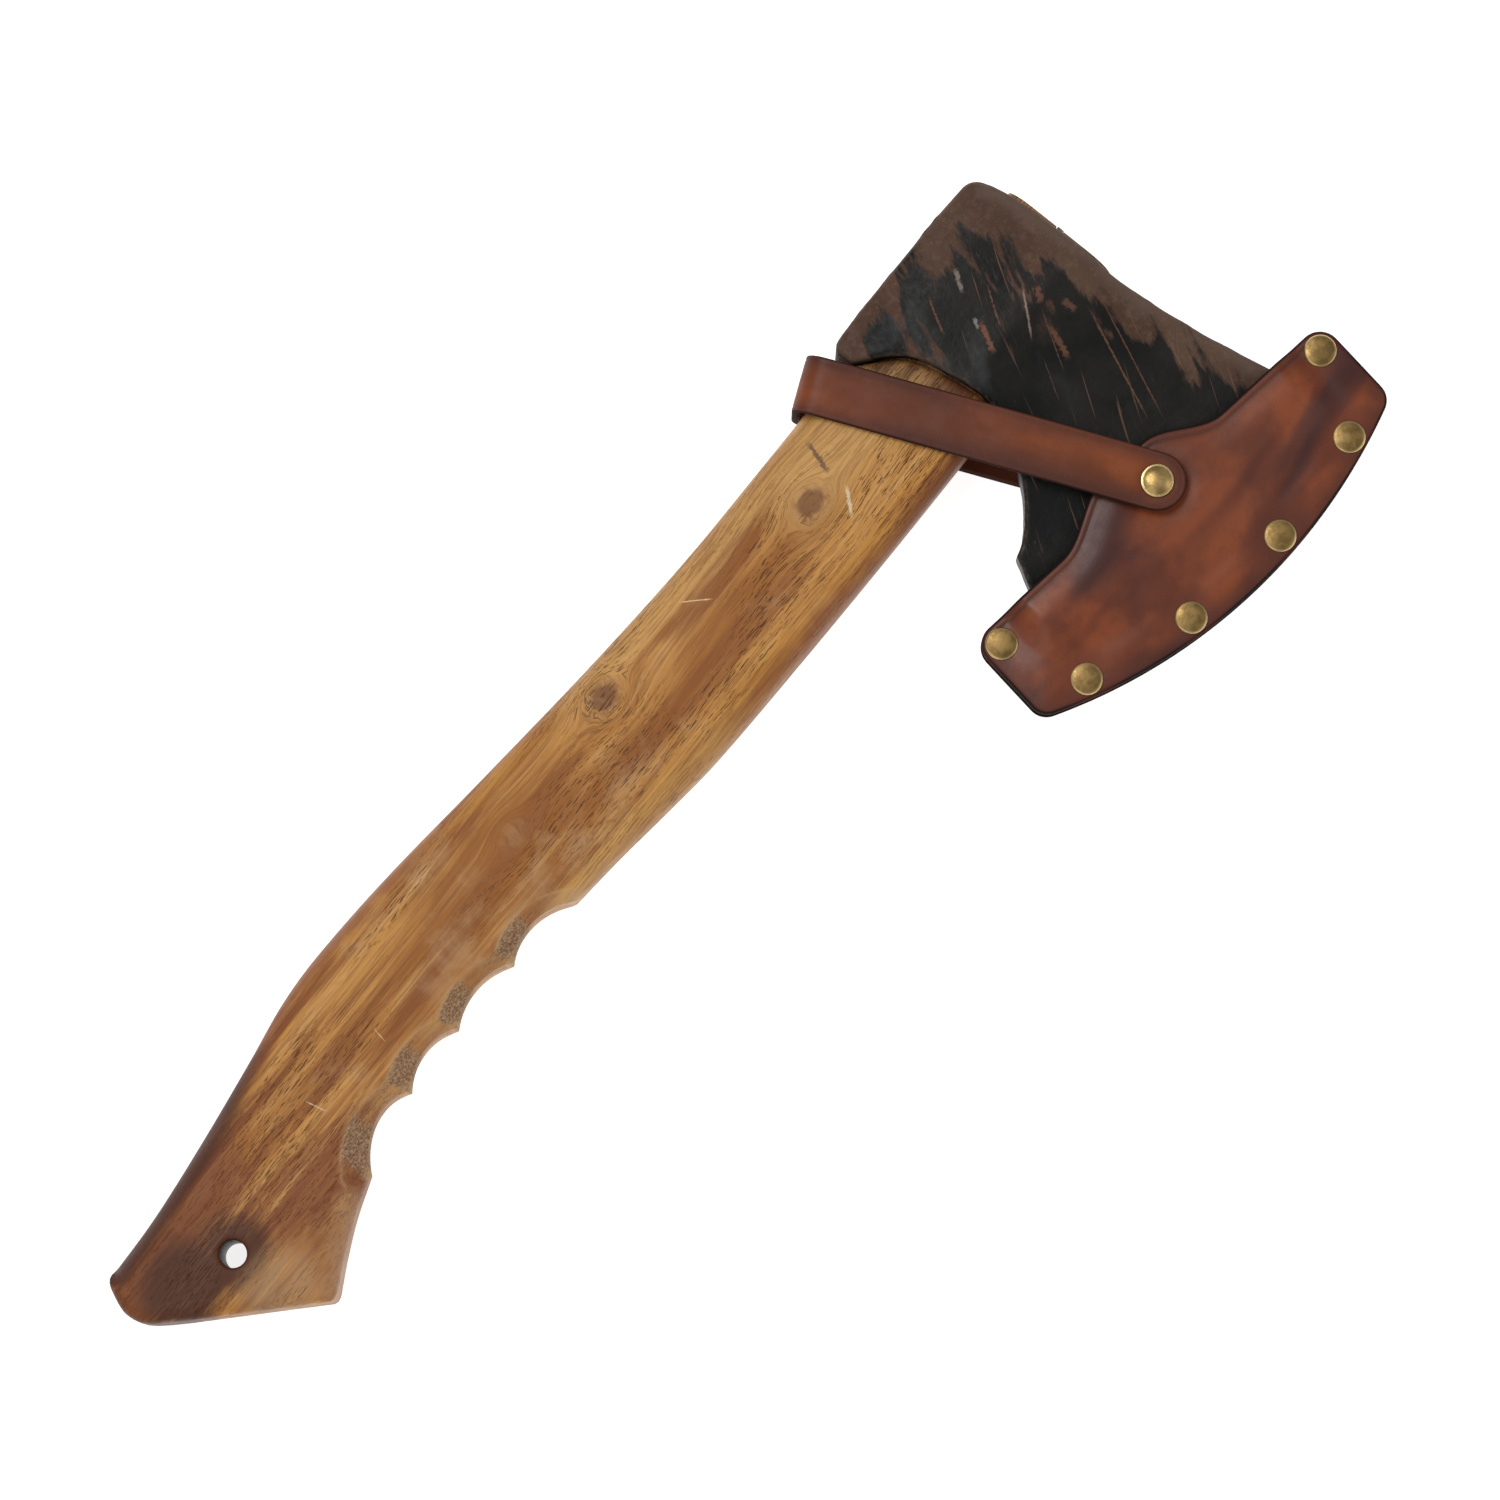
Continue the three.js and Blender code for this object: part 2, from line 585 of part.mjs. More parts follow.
named('snap_stud_post', turned([[0, -0.6], [3.5, -0.6], [3.5, 0], [0.9, 0], [0.9, 3.6], [0, 3.6]]), BRASS, strap)
  .position.z = seatHeight;
named('snap_stud', turned([
  [1.2, 0], [3.4, 0], [3.4, 0.5], [2.1, 0.6], [1.9, 1], [2.2, 1.5], [1.9, 1.9], [1.2, 1.9], [1.2, 0],
]), BRASS, strap).position.z = studBase;
named('snap_socket', turned([
  [1.9, socketHigh], [1.9, socketHigh - 0.3], [2.6, socketHigh - 0.3], [2.6, 0], [4, 0], [4.1, 0.3],
  [3.4, socketHigh], [1.9, socketHigh],
]), BRASS, strap).position.z = socketBase;
named('snap_cap', turned([
  [0, 1.9], [1.8, 1.7], [3.3, 1.15], [4.2, 0.55], [4.6, 0.5], [4.6, 0], [1.6, 0], [1.6, -STRAP_THICK - 0.4],
  [0, -STRAP_THICK - 0.4],
]), BRASS, strap).position.z = STRAP_FRONT_Z + STRAP_THICK / 2 + 0.15;

// ---------------------------------------------------------------- strap

// The strap's height on one side, at a distance u from the button: flat, then up to the handle.
function climb(start, u) {
  const share = THREE.MathUtils.clamp((u - STRAP_FLAT) / (STRAP_CLIMB - STRAP_FLAT), 0, 1);
  return start + (STRAP_RUN_Z - start) * Math.sin((Math.PI / 2) * share);
}

// A stretch of strap along points of [u, z, normal's u, normal's z], narrowed by its rounded end.
function strapPiece(path) {
  const face = (side) => path.map(([u, z, nu, nz]) => {
    const half = u < 0 ? Math.sqrt(Math.max(STRAP_HALF ** 2 - u * u, 1)) : STRAP_HALF;
    return [-half, 0, half].map((w) => new THREE.Vector3(
      u + (side * nu * STRAP_THICK) / 2, w, z + (side * nz * STRAP_THICK) / 2,
    ));
  });
  return plate(face(1), face(-1));
}

// The run on one side (1 front, -1 back), from its rounded end to its corner.
function strapRun(side, start) {
  const places = [...span(-7.9, 0, 5), STRAP_FLAT, 12, 20, 30, 38, STRAP_CLIMB, STRAP_TURN - STRAP_BEND_RADIUS];
  return places.map((u) => [u, side * climb(start, u), 0, side]);
}

// Part of a corner of the strap, from one angle to another over the run's plane.
function strapCorner(side, from, to) {
  const [u, z] = [STRAP_TURN - STRAP_BEND_RADIUS, STRAP_RUN_Z - STRAP_BEND_RADIUS];
  return span(from, to, 3).map((turn) => {
    const angle = THREE.MathUtils.degToRad(turn);
    const [across, up] = [Math.cos(angle), Math.sin(angle)];
    return [u + STRAP_BEND_RADIUS * across, side * (z + STRAP_BEND_RADIUS * up), across, side * up];
  });
}

const HALF_SPLIT = 2.2;
const frontRun = [...strapRun(1, STRAP_FRONT_Z), ...strapCorner(1, 90, 45 + HALF_SPLIT).slice(1)];
const backRun = [...strapRun(-1, STRAP_BACK_Z), ...strapCorner(-1, 90, 45 + HALF_SPLIT).slice(1)];
const bend = [...strapCorner(1, 45 - HALF_SPLIT, 0), ...strapCorner(-1, 0, 45 - HALF_SPLIT)];
const rivetHole = drill(0, 0, RIVET_HOLE, -30, 30);
named('strap_front_run', cut(strapPiece(frontRun), rivetHole), STRAP, strap);
named('strap_bend', strapPiece(bend), STRAP, strap);
named('strap_back_run', cut(strapPiece(backRun), rivetHole), STRAP, strap);

export default hatchet;
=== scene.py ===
"""A bearded hatchet in a riveted leather mask, lying on a pale floor.

Shapes are worked out in millimetres in the bench frame: a runs from the poll's top corner towards
the butt, p from the poll face towards the cutting edge, and z is the height over the middle plane.
The mask has its own frame, centred on the arc of the cutting edge, and the strap has one that
starts at its button.
"""

import json
import math

import bmesh
import bpy
import numpy as np
from mathutils import Matrix, Vector, noise
from mathutils.geometry import delaunay_2d_cdt
from mathutils.kdtree import KDTree


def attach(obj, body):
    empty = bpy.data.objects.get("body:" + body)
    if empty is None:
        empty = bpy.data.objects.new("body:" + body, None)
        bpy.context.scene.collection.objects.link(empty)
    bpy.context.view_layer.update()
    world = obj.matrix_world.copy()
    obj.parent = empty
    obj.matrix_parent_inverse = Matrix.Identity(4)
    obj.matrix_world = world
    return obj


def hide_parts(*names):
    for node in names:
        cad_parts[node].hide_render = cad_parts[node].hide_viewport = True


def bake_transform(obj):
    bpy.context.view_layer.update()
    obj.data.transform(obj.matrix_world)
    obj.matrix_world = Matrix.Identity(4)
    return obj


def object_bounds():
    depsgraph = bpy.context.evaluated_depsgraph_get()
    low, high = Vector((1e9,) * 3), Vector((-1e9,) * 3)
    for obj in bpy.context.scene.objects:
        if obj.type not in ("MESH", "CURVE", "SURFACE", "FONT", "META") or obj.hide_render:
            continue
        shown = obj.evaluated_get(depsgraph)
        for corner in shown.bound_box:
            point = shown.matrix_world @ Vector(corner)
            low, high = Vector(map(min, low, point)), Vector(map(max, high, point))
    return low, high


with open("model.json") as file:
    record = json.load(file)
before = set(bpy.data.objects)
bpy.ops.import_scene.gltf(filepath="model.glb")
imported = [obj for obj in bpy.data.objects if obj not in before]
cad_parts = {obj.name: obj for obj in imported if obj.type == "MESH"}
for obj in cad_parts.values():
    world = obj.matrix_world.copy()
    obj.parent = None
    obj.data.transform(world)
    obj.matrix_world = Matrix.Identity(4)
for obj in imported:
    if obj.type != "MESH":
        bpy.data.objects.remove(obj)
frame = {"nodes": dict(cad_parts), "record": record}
cad_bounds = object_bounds()
record = frame["record"]
MM = 0.001

# ---- dimensions, in millimetres

POLL_FACE_MIDDLE = 29
poll_face = next(m for m in record["mounts"] if m["name"] == "poll_face")["pos_m"]
ORIGIN_A = poll_face[0] / MM + POLL_FACE_MIDDLE
ORIGIN_P = poll_face[1] / MM
MIDDLE_Z = poll_face[2] / MM

BIT_RADIUS = 147.8
BEVEL_SLOPE = 0.21
BIT_EDGE_HALF = 0.3
CHEEK_HALF = 15.5
EYE = (10, 46, 10, 8)  # start and end along p, half-height, corner radius
EYE_MIDDLE = (EYE[0] + EYE[1]) / 2
TENON_END = -6.3
WEDGE_CUTS = [(30, 60, 4), (15, 2.6, 60)]  # blocks cut out of the tenon's end
EDGE_ROUND = 8
HOLE_PLACE = (349.5, 29.7)
HOLE_RADIUS = 3.75

MASK_CENTRE = (15.1, -27.4)
MASK_TURN = math.radians(8.35)
MASK_RADIUS = 159.3
MASK_HALF = 64.7
OUTER_CORNER = 5.5
INNER_CORNER = 6
INNER_EDGE = 118
TAB_EDGE = 109.3
LEATHER = 3
PANEL_PUFF = 1.3  # how far a panel's leather stands up between its rivets
RIM_HEIGHT = 2.05
# rivets on the mask, as (distance from its centre, degrees off its middle line)
RIVETS = [(137, -25.5), (154, -18.4), (154, -6.13), (154, 6.13), (154, 18.4), (137, 25.5)]
PRESSED_LINE = 2.4  # from the mask's inner edge

BUTTON = (-1.05, 120.1)
STRAP_DIRECTION = (0.39489, -0.91874)
STRAP_HALF = 8
STRAP_THICK = 2.3
STRAP_RUN_Z = 14.1
STRAP_FRONT_Z = 13
STRAP_BACK_Z = 11.1
STRAP_FLAT = 5.5
STRAP_CLIMB = 46
STRAP_TURN = 99.2
STRAP_BEND_RADIUS = 4.5
STRAP_LINE = 1.3  # pressed line, from the strap's edge
TENON_GAP = 0.3
SHARP = 38  # degrees between faces that meet in a sharp edge


# ---- frames


def from_bench(points):
    """Points (a, p, z) in millimetres, in the row's frame in metres."""
    a, p, z = np.asarray(points, float).T
    return np.column_stack([ORIGIN_A - a, ORIGIN_P - p, MIDDLE_Z + z]) * MM


def mask_to_bench(x, y):
    """A place in the mask's frame, as a and p."""
    a = MASK_CENTRE[0] + x * math.cos(MASK_TURN) + y * math.sin(MASK_TURN)
    p = MASK_CENTRE[1] - x * math.sin(MASK_TURN) + y * math.cos(MASK_TURN)
    return a, p


def from_mask(points):
    """Points in the mask's frame, in the row's frame."""
    x, y, z = np.asarray(points, float).T
    return from_bench(np.column_stack([*mask_to_bench(x, y), z]))


BUTTON_A, BUTTON_P = mask_to_bench(*BUTTON)


def from_strap(points):
    """Points (along the run from the button, across it, z), in the row's frame."""
    u, w, z = np.asarray(points, float).T
    du, dp = STRAP_DIRECTION
    return from_bench(np.column_stack([BUTTON_A + u * du - w * dp, BUTTON_P + u * dp + w * du, z]))


# ---- curves


def through(knots):
    """A smooth function through a few (place, value) knots, level where it turns."""
    x, y = np.array(knots, float).T
    rise = np.diff(y) / np.diff(x)
    slope = np.concatenate([rise[:1], (y[2:] - y[:-2]) / (x[2:] - x[:-2]), rise[-1:]])
    slope[1:-1][rise[:-1] * rise[1:] <= 0] = 0

    def at(q):
        q = np.asarray(q, float)
        i = np.clip(np.searchsorted(x, q, side="right") - 1, 0, len(x) - 2)
        width = x[i + 1] - x[i]
        t = np.clip((q - x[i]) / width, 0, 1)
        share = t * t * (3 - 2 * t)
        bend = width * t * (1 - t) * (slope[i] * (1 - t) - slope[i + 1] * t)
        return y[i] * (1 - share) + y[i + 1] * share + bend

    return at


def ease(low, high, value):
    """0 at low and 1 at high, smoothly between. Low may be the larger of the two."""
    t = np.clip((np.asarray(value, float) - low) / (high - low), 0, 1)
    return t * t * (3 - 2 * t)


def ridge(away, middle, width):
    """1 at the middle, falling off to both sides."""
    return np.exp(-(((away - middle) / width) ** 2))


def most(*shares):
    """The largest of several shares at each point."""
    return np.maximum.reduce(shares)


def arc(centre, radius, start, end, steps):
    """Points on an arc, angles in degrees."""
    turn = np.radians(np.linspace(start, end, steps + 1))
    return np.column_stack([centre[0] + radius * np.cos(turn), centre[1] + radius * np.sin(turn)])


def soften(line, rounds=2):
    """A line with its corners cut, its two ends kept."""
    line = np.asarray(line, float)
    for _ in range(rounds):
        near = line[:-1] * 0.75 + line[1:] * 0.25
        far = line[:-1] * 0.25 + line[1:] * 0.75
        line = np.vstack([line[:1], np.column_stack([near, far]).reshape(-1, 2)[1:-1], line[-1:]])
    return line


def resample(line, spacing):
    """The same line in steps of about the spacing."""
    line = np.asarray(line, float)
    length = np.concatenate([[0], np.cumsum(np.linalg.norm(np.diff(line, axis=0), axis=1))])
    at = np.linspace(0, length[-1], max(int(round(length[-1] / spacing)), 1) + 1)
    return np.column_stack([np.interp(at, length, line[:, k]) for k in (0, 1)])


def distance(points, line):
    """Distance from each point to a line, and how far along the line, 0 to 1, the nearest place is."""
    step = np.diff(line, axis=0)
    offset = points[:, None] - line[:-1]
    t = np.clip((offset * step).sum(2) / (step**2).sum(1), 0, 1)
    away = np.linalg.norm(offset - t[..., None] * step, axis=2)
    nearest = away.argmin(1)
    rows = np.arange(len(points))
    return away[rows, nearest], (nearest + t[rows, nearest]) / len(step)


def inside(points, loop):
    """Which points lie inside a closed loop."""
    x, y = points[:, :1], points[:, 1:]
    x0, y0 = loop.T
    x1, y1 = np.roll(loop, -1, axis=0).T
    crosses = (y0 > y) != (y1 > y)
    with np.errstate(divide="ignore", invalid="ignore"):
        left = x < (x1 - x0) * (y - y0) / (y1 - y0) + x0
    return (crosses & left).sum(1) % 2 == 1


def sideways(loop):
    """A unit step to the left of the way round, at each point of a closed loop."""
    ahead = np.roll(loop, -1, axis=0) - np.roll(loop, 1, axis=0)
    ahead /= np.linalg.norm(ahead, axis=1)[:, None] + 1e-12
    return np.column_stack([-ahead[:, 1], ahead[:, 0]])


def rough(points, size, seed=0.0):
    """Smooth noise between about -1 and 1 at each point, with lumps of the given size."""
    return np.array([noise.noise(Vector((x / size, y / size, seed))) for x, y in points])


# ---- meshes


class Flat:
    """A flat mesh over an outline with holes, finer near its edges, to be given thickness."""

    def __init__(self, outline, holes=(), spacing=2.2, insets=(0.3, 1, 2), creases=()):
        loops = [np.asarray(loop, float) for loop in (outline, *holes)]
        border = [np.vstack([loop, loop[:1]]) for loop in loops]
        rings = [self._inset(loop, depth) for loop in loops for depth in insets]
        depths = np.concatenate(
            [np.full(2 * len(loop), depth * 0.93) for loop in loops for depth in insets]
        )
        low, high = loops[0].min(0), loops[0].max(0)
        grid_y = np.arange(low[1], high[1], spacing * math.sqrt(0.75))
        rows = []
        for k, y in enumerate(grid_y):
            x = np.arange(low[0] + (k % 2) * spacing / 2, high[0], spacing)
            rows.append(np.column_stack([x, np.full(len(x), y)]))
        grid = np.vstack(rows)
        folds = np.vstack([*creases, np.zeros((0, 2))])
        away = distance(grid, folds)[0] if len(folds) else np.full(len(grid), 9.0)
        grid = grid[away > spacing * 0.5]
        inner = np.vstack([folds, *rings, grid])
        need = np.concatenate(
            [np.full(len(folds), 0.25), depths, np.full(len(grid), insets[-1] + spacing * 0.45)]
        )
        near = np.min([distance(inner, line)[0] for line in border], axis=0)
        keep = inside(inner, loops[0]) & (near >= need)
        for hole in loops[1:]:
            keep &= ~inside(inner, hole)
        inner = self._thin(inner[keep], spacing * 0.3, min(insets[0], 0.6) * 0.8)
        edges = []
        first = 0
        for loop in loops:
            count = len(loop)
            edges += [(first + i, first + (i + 1) % count) for i in range(count)]
            first += count
        points = [Vector(q) for q in np.vstack([*loops, inner])]
        verts, _, faces, *_ = delaunay_2d_cdt(points, edges, [], 1, 1e-5)
        self.points = np.array([tuple(v) for v in verts])
        faces = np.array([f for f in faces if len(f) == 3])
        middles = self.points[faces].mean(1)
        for hole in loops[1:]:
            outside = ~inside(middles, hole)
            faces, middles = faces[outside], middles[outside]
        a, b, c = (self.points[faces[:, k]] for k in range(3))
        doubled = (b[:, 0] - a[:, 0]) * (c[:, 1] - a[:, 1]) - (c[:, 0] - a[:, 0]) * (b[:, 1] - a[:, 1])
        faces[doubled < 0] = faces[doubled < 0][:, ::-1]
        self.faces = faces[np.abs(doubled) > 1e-9]

    @staticmethod
    def _inset(loop, depth):
        """Points at a depth from the loop, on both sides of it."""
        side = sideways(loop) * depth
        return np.vstack([loop + side, loop - side])

    @staticmethod
    def _thin(points, cell, finest):
        """Drops points that crowd each other."""
        size = max(min(cell, finest), 0.15)
        _, first = np.unique(np.round(points / size).astype(int), axis=0, return_index=True)
        return points[np.sort(first)]

    def body(self, name, top, bottom, place, wall_rows=2):
        """A closed piece between two heights over the flat mesh, put in place by a frame."""
        count = len(self.points)
        used = {}
        for face in self.faces:
            for i, j in zip(face, np.roll(face, -1), strict=True):
                used[(i, j)] = used.get((j, i), 0) + 1
        rim = [(i, j) for i, j in used if (j, i) not in used]
        points = [np.column_stack([self.points, top]), np.column_stack([self.points, bottom])]
        steps = {}
        total = 2 * count
        for i, _ in rim:
            steps[i] = [i, *range(total, total + wall_rows - 1), count + i]
            total += wall_rows - 1
            share = (np.arange(1, wall_rows) / wall_rows)[:, None]
            points.append(points[0][i] * (1 - share) + points[1][i] * share)
        faces = [tuple(f) for f in self.faces] + [tuple(f[::-1] + count) for f in self.faces]
        for i, j in rim:
            for k in range(wall_rows):
                faces.append((steps[j][k], steps[i][k], steps[i][k + 1], steps[j][k + 1]))
        return make_piece(name, place(np.vstack(points)), faces)


def make_piece(name, points, faces, sharp=SHARP):
    mesh = bpy.data.meshes.new(name)
    mesh.from_pydata([tuple(q) for q in points], [], [tuple(int(k) for k in f) for f in faces])
    work = bmesh.new()
    work.from_mesh(mesh)
    bmesh.ops.remove_doubles(work, verts=work.verts, dist=1e-7)
    bmesh.ops.recalc_face_normals(work, faces=work.faces)
    work.to_mesh(mesh)
    work.free()
    piece = bpy.data.objects.new(name, mesh)
    bpy.context.collection.objects.link(piece)
    shade(piece, sharp)
    return piece


def shade(piece, sharp):
    piece.data.shade_smooth()
    piece.data.set_sharp_from_angle(angle=math.radians(sharp))


def tube(name, rings, place, sharp=SHARP):
    """A closed piece through rings of equal numbers of points, with its two ends filled."""
    count = len(rings[0])
    faces = [tuple(range(count))[::-1], tuple(range((len(rings) - 1) * count, len(rings) * count))]
    for i in range(len(rings) - 1):
        for j in range(count):
            k = (j + 1) % count
            faces.append((i * count + j, i * count + k, (i + 1) * count + k, (i + 1) * count + j))
    return make_piece(name, place(np.vstack(rings)), faces, sharp)


def turned(name, profile, centre, up, place, sides=56, sharp=50):
    """A turned piece: a profile of (radius, height) points, from the axis to the axis."""
    turns = np.linspace(0, 2 * math.pi, sides, endpoint=False)
    points = []
    rows = []
    for radius, height in profile:
        rows.append(len(points))
        for turn in turns if radius > 0 else turns[:1]:
            points.append((
                centre[0] + radius * math.cos(turn), centre[1] + radius * math.sin(turn),
                centre[2] + up * height,
            ))
    rows.append(len(points))
    faces = []
    for here, there, after in zip(rows[:-2], rows[1:-1], rows[2:], strict=True):
        for j in range(sides):
            k = (j + 1) % sides
            if there - here == 1:
                faces.append((here, there + j, there + k))
            elif after - there == 1:
                faces.append((here + j, here + k, there))
            else:
                faces.append((here + j, here + k, there + k, there + j))
    return make_piece(name, place(points), faces, sharp)


def combine(piece, tool, operation):
    """Cuts the tool out of the piece, or joins it on, and removes the tool."""
    change = piece.modifiers.new("combine", "BOOLEAN")
    change.operation = operation
    change.solver = "EXACT"
    change.object = tool
    graph = bpy.context.evaluated_depsgraph_get()
    done = bpy.data.meshes.new_from_object(piece.evaluated_get(graph))
    piece.modifiers.clear()
    piece.data = done
    bpy.data.objects.remove(tool)
    shade(piece, SHARP)


def paint(piece, **fields):
    """Stores a number or a vector for each vertex, for the material to read."""
    for name, values in fields.items():
        values = np.asarray(values, np.float32)
        kind, key = ("FLOAT", "value") if values.ndim == 1 else ("FLOAT_VECTOR", "vector")
        layer = piece.data.attributes.new(name, kind, "POINT")
        layer.data.foreach_set(key, values.ravel())


def vertices(piece):
    """A piece's vertices in the row's frame, in metres."""
    return np.array([v.co for v in piece.data.vertices])


def bench_points(piece):
    """A piece's vertices in the bench frame, in millimetres."""
    places = vertices(piece) / MM
    return np.column_stack([ORIGIN_A - places[:, 0], ORIGIN_P - places[:, 1], places[:, 2] - MIDDLE_Z])


def mask_points(piece):
    """A piece's vertices in the mask's frame, in millimetres."""
    a, p, z = bench_points(piece).T
    da, dp = a - MASK_CENTRE[0], p - MASK_CENTRE[1]
    x = da * math.cos(MASK_TURN) - dp * math.sin(MASK_TURN)
    y = da * math.sin(MASK_TURN) + dp * math.cos(MASK_TURN)
    return np.column_stack([x, y, z])


def rounded(half, stretches, points):
    """Half-thickness at each point, rounded off towards an outline made of stretches of
    (line, radius at its start, radius at its end, roundness)."""
    height = half.copy()
    for line, start, end, power in stretches:
        away, along = distance(points, line)
        radius = start + (end - start) * along
        share = np.clip(1 - away / radius, 0, 1)
        height = np.minimum(height, half - radius * (1 - (1 - share**power) ** (1 / power)))
    return height


# ---- material graphs


class Graph:
    """A material with one Principled shader, built node by node."""

    def __init__(self, name):
        self.material = bpy.data.materials.new(name)
        self.material.use_nodes = True
        self.nodes = self.material.node_tree.nodes
        self.links = self.material.node_tree.links
        self.shader = next(n for n in self.nodes if n.type == "BSDF_PRINCIPLED")

    def put(self, socket, value):
        if isinstance(value, bpy.types.NodeSocket):
            self.links.new(value, socket)
        elif value is not None:
            socket.default_value = value

    def node(self, kind, *values, out=0, sockets=None, **settings):
        """The output of a new node, with its sockets filled in order or by name."""
        made = self.nodes.new(kind)
        for key, value in settings.items():
            setattr(made, key, value)
        for socket, value in zip(made.inputs, values, strict=False):
            self.put(socket, value)
        for key, value in (sockets or {}).items():
            self.put(made.inputs[key], value)
        return made.outputs[out]

    def math(self, operation, a, b=0.0):
        return self.node("ShaderNodeMath", a, b, operation=operation)

    def times(self, a, b):
        return self.math("MULTIPLY", a, b)

    def plus(self, a, b):
        return self.math("ADD", a, b)

    def minus(self, a, b):
        return self.math("SUBTRACT", a, b)

    def larger(self, a, b):
        return self.math("MAXIMUM", a, b)

    def swing(self, value, size):
        """A value between 0 and 1, made to swing about zero."""
        return self.times(self.minus(value, 0.5), size)

    def value(self, name):
        return self.node("ShaderNodeAttribute", out=2, attribute_name=name)

    def vector(self, name):
        return self.node("ShaderNodeAttribute", out=1, attribute_name=name)

    def place(self):
        """The surface's own place, in metres, in the row's frame."""
        return self.node("ShaderNodeTexCoord", out=3)

    def scaled(self, vector, scale, shift=(0, 0, 0), turn=0.0):
        """A vector turned about z, then stretched and shifted."""
        if turn:
            vector = self.node("ShaderNodeMapping", vector, (0, 0, 0), (0, 0, turn))
        return self.node("ShaderNodeMapping", vector, shift, (0, 0, 0), scale)

    def noise(self, vector, scale=1.0, detail=3.0, roughness=0.5, distortion=0.0):
        """Cloudy noise. A scale of three numbers stretches it."""
        if isinstance(scale, tuple):
            vector, scale = self.scaled(vector, scale), 1.0
        sockets = {"Scale": scale, "Detail": detail, "Roughness": roughness, "Distortion": distortion}
        return self.node("ShaderNodeTexNoise", vector, sockets=sockets)

    def cells(self, vector, scale=1.0):
        return self.node("ShaderNodeTexVoronoi", vector, sockets={"Scale": scale})

    def ramp(self, value, low, high, start=0.0, end=1.0):
        """start below low and end above high, smoothly between."""
        values = (value, low, high, start, end)
        return self.node("ShaderNodeMapRange", *values, interpolation_type="SMOOTHSTEP")

    def mix(self, share, first, second, amount=None):
        """The second colour over the first, by a share that an amount may weaken."""
        if amount is not None:
            share = self.times(share, amount)
        sockets = {"Factor": share, 6: colour(first), 7: colour(second)}
        return self.node("ShaderNodeMix", sockets=sockets, out=2, data_type="RGBA")

    def layers(self, base, *coats):
        """Colours laid one after another, each as (share, colour) or (share, colour, amount)."""
        for share, tone, *amount in coats:
            base = self.mix(share, base, tone, *amount)
        return base

    def mark(self, vector, start, end, width):
        """A ragged streak between two places on a flat attribute, 1 along its middle."""
        length = math.dist(start, end)
        turn = math.atan2(end[1] - start[1], end[0] - start[0])
        moved = self.node("ShaderNodeVectorMath", vector, (*start, 0.0), operation="SUBTRACT")
        split = self.nodes.new("ShaderNodeSeparateXYZ")
        self.put(split.inputs[0], self.scaled(moved, (1, 1, 1), turn=-turn))
        along, across = split.outputs[0], split.outputs[1]
        ragged = self.noise(self.scaled(vector, (0.9, 0.9, 0.9)), 1, 3, 0.6)
        off = self.plus(self.math("ABSOLUTE", across), self.swing(ragged, width * 1.3))
        middle = self.math("ABSOLUTE", self.minus(along, length / 2))
        taper = self.ramp(middle, length / 2, length * 0.25)
        return self.times(self.ramp(off, width / 2, width * 0.2), taper)

    def bump(self, height, depth):
        sockets = {"Strength": 1.0, "Distance": depth, "Height": height}
        return self.node("ShaderNodeBump", sockets=sockets)

    def finish(self, base, roughness, normal=None, metallic=None, **constants):
        """The material, with its shader's sockets filled."""
        given = {"Base Color": colour(base), "Roughness": roughness, "Normal": normal}
        given["Metallic"] = metallic
        for name, value in constants.items():
            given[name.replace("_", " ").title().replace("Ior", "IOR")] = value
        for name, value in given.items():
            self.put(self.shader.inputs[name], value)
        return self.material


def colour(value):
    """A colour given as a 0 to 255 screen value, as the shader wants it."""
    if isinstance(value, tuple) and len(value) == 3:
        return (*[((c / 255 + 0.055) / 1.055) ** 2.4 if c > 10 else c / 255 / 12.92 for c in value], 1)
    return value


# ---- materials


WOOD_SHIFT = (0.4, 0.2, 0)
WOOD_DARK = (154, 96, 36)
WOOD_LIGHT = (194, 138, 68)
WOOD_STREAK = (130, 74, 26)
WOOD_PALE = (212, 166, 100)
WOOD_BAND = (140, 82, 32)
WOOD_FIBRE = (128, 78, 38)
WOOD_WEAR_AND_HIGHLIGHT = (196, 160, 118)
WOOD_PORE = (76, 42, 22)
WOOD_RIM = (126, 68, 42)
WOOD_RUDDY = (120, 65, 35)
WOOD_DIRT_AND_SHADE = (74, 40, 26)
KNOT_RING = ((132, 88, 50), (172, 130, 86))
KNOT_CORE = (116, 72, 38)
ROUGH_CUT = ((112, 80, 54), (178, 148, 118))
# marks on the face: (a, p of the start, a, p of the end, width), colour
WOOD_MARKS = [
    (((84.6, 26.6), (91.4, 34.2), 1.2), (212, 190, 156)),
    (((82.2, 10.5), (85.6, 22.0), 1.7), (122, 88, 62)),
    (((138.7, 11.3), (131.2, 18.9), 0.4), (224, 186, 140)),
    (((305.8, 18.4), (304.2, 25.2), 0.5), (202, 172, 138)),
    (((279, 20.4), (279.9, 25.6), 0.35), (196, 164, 126)),
]


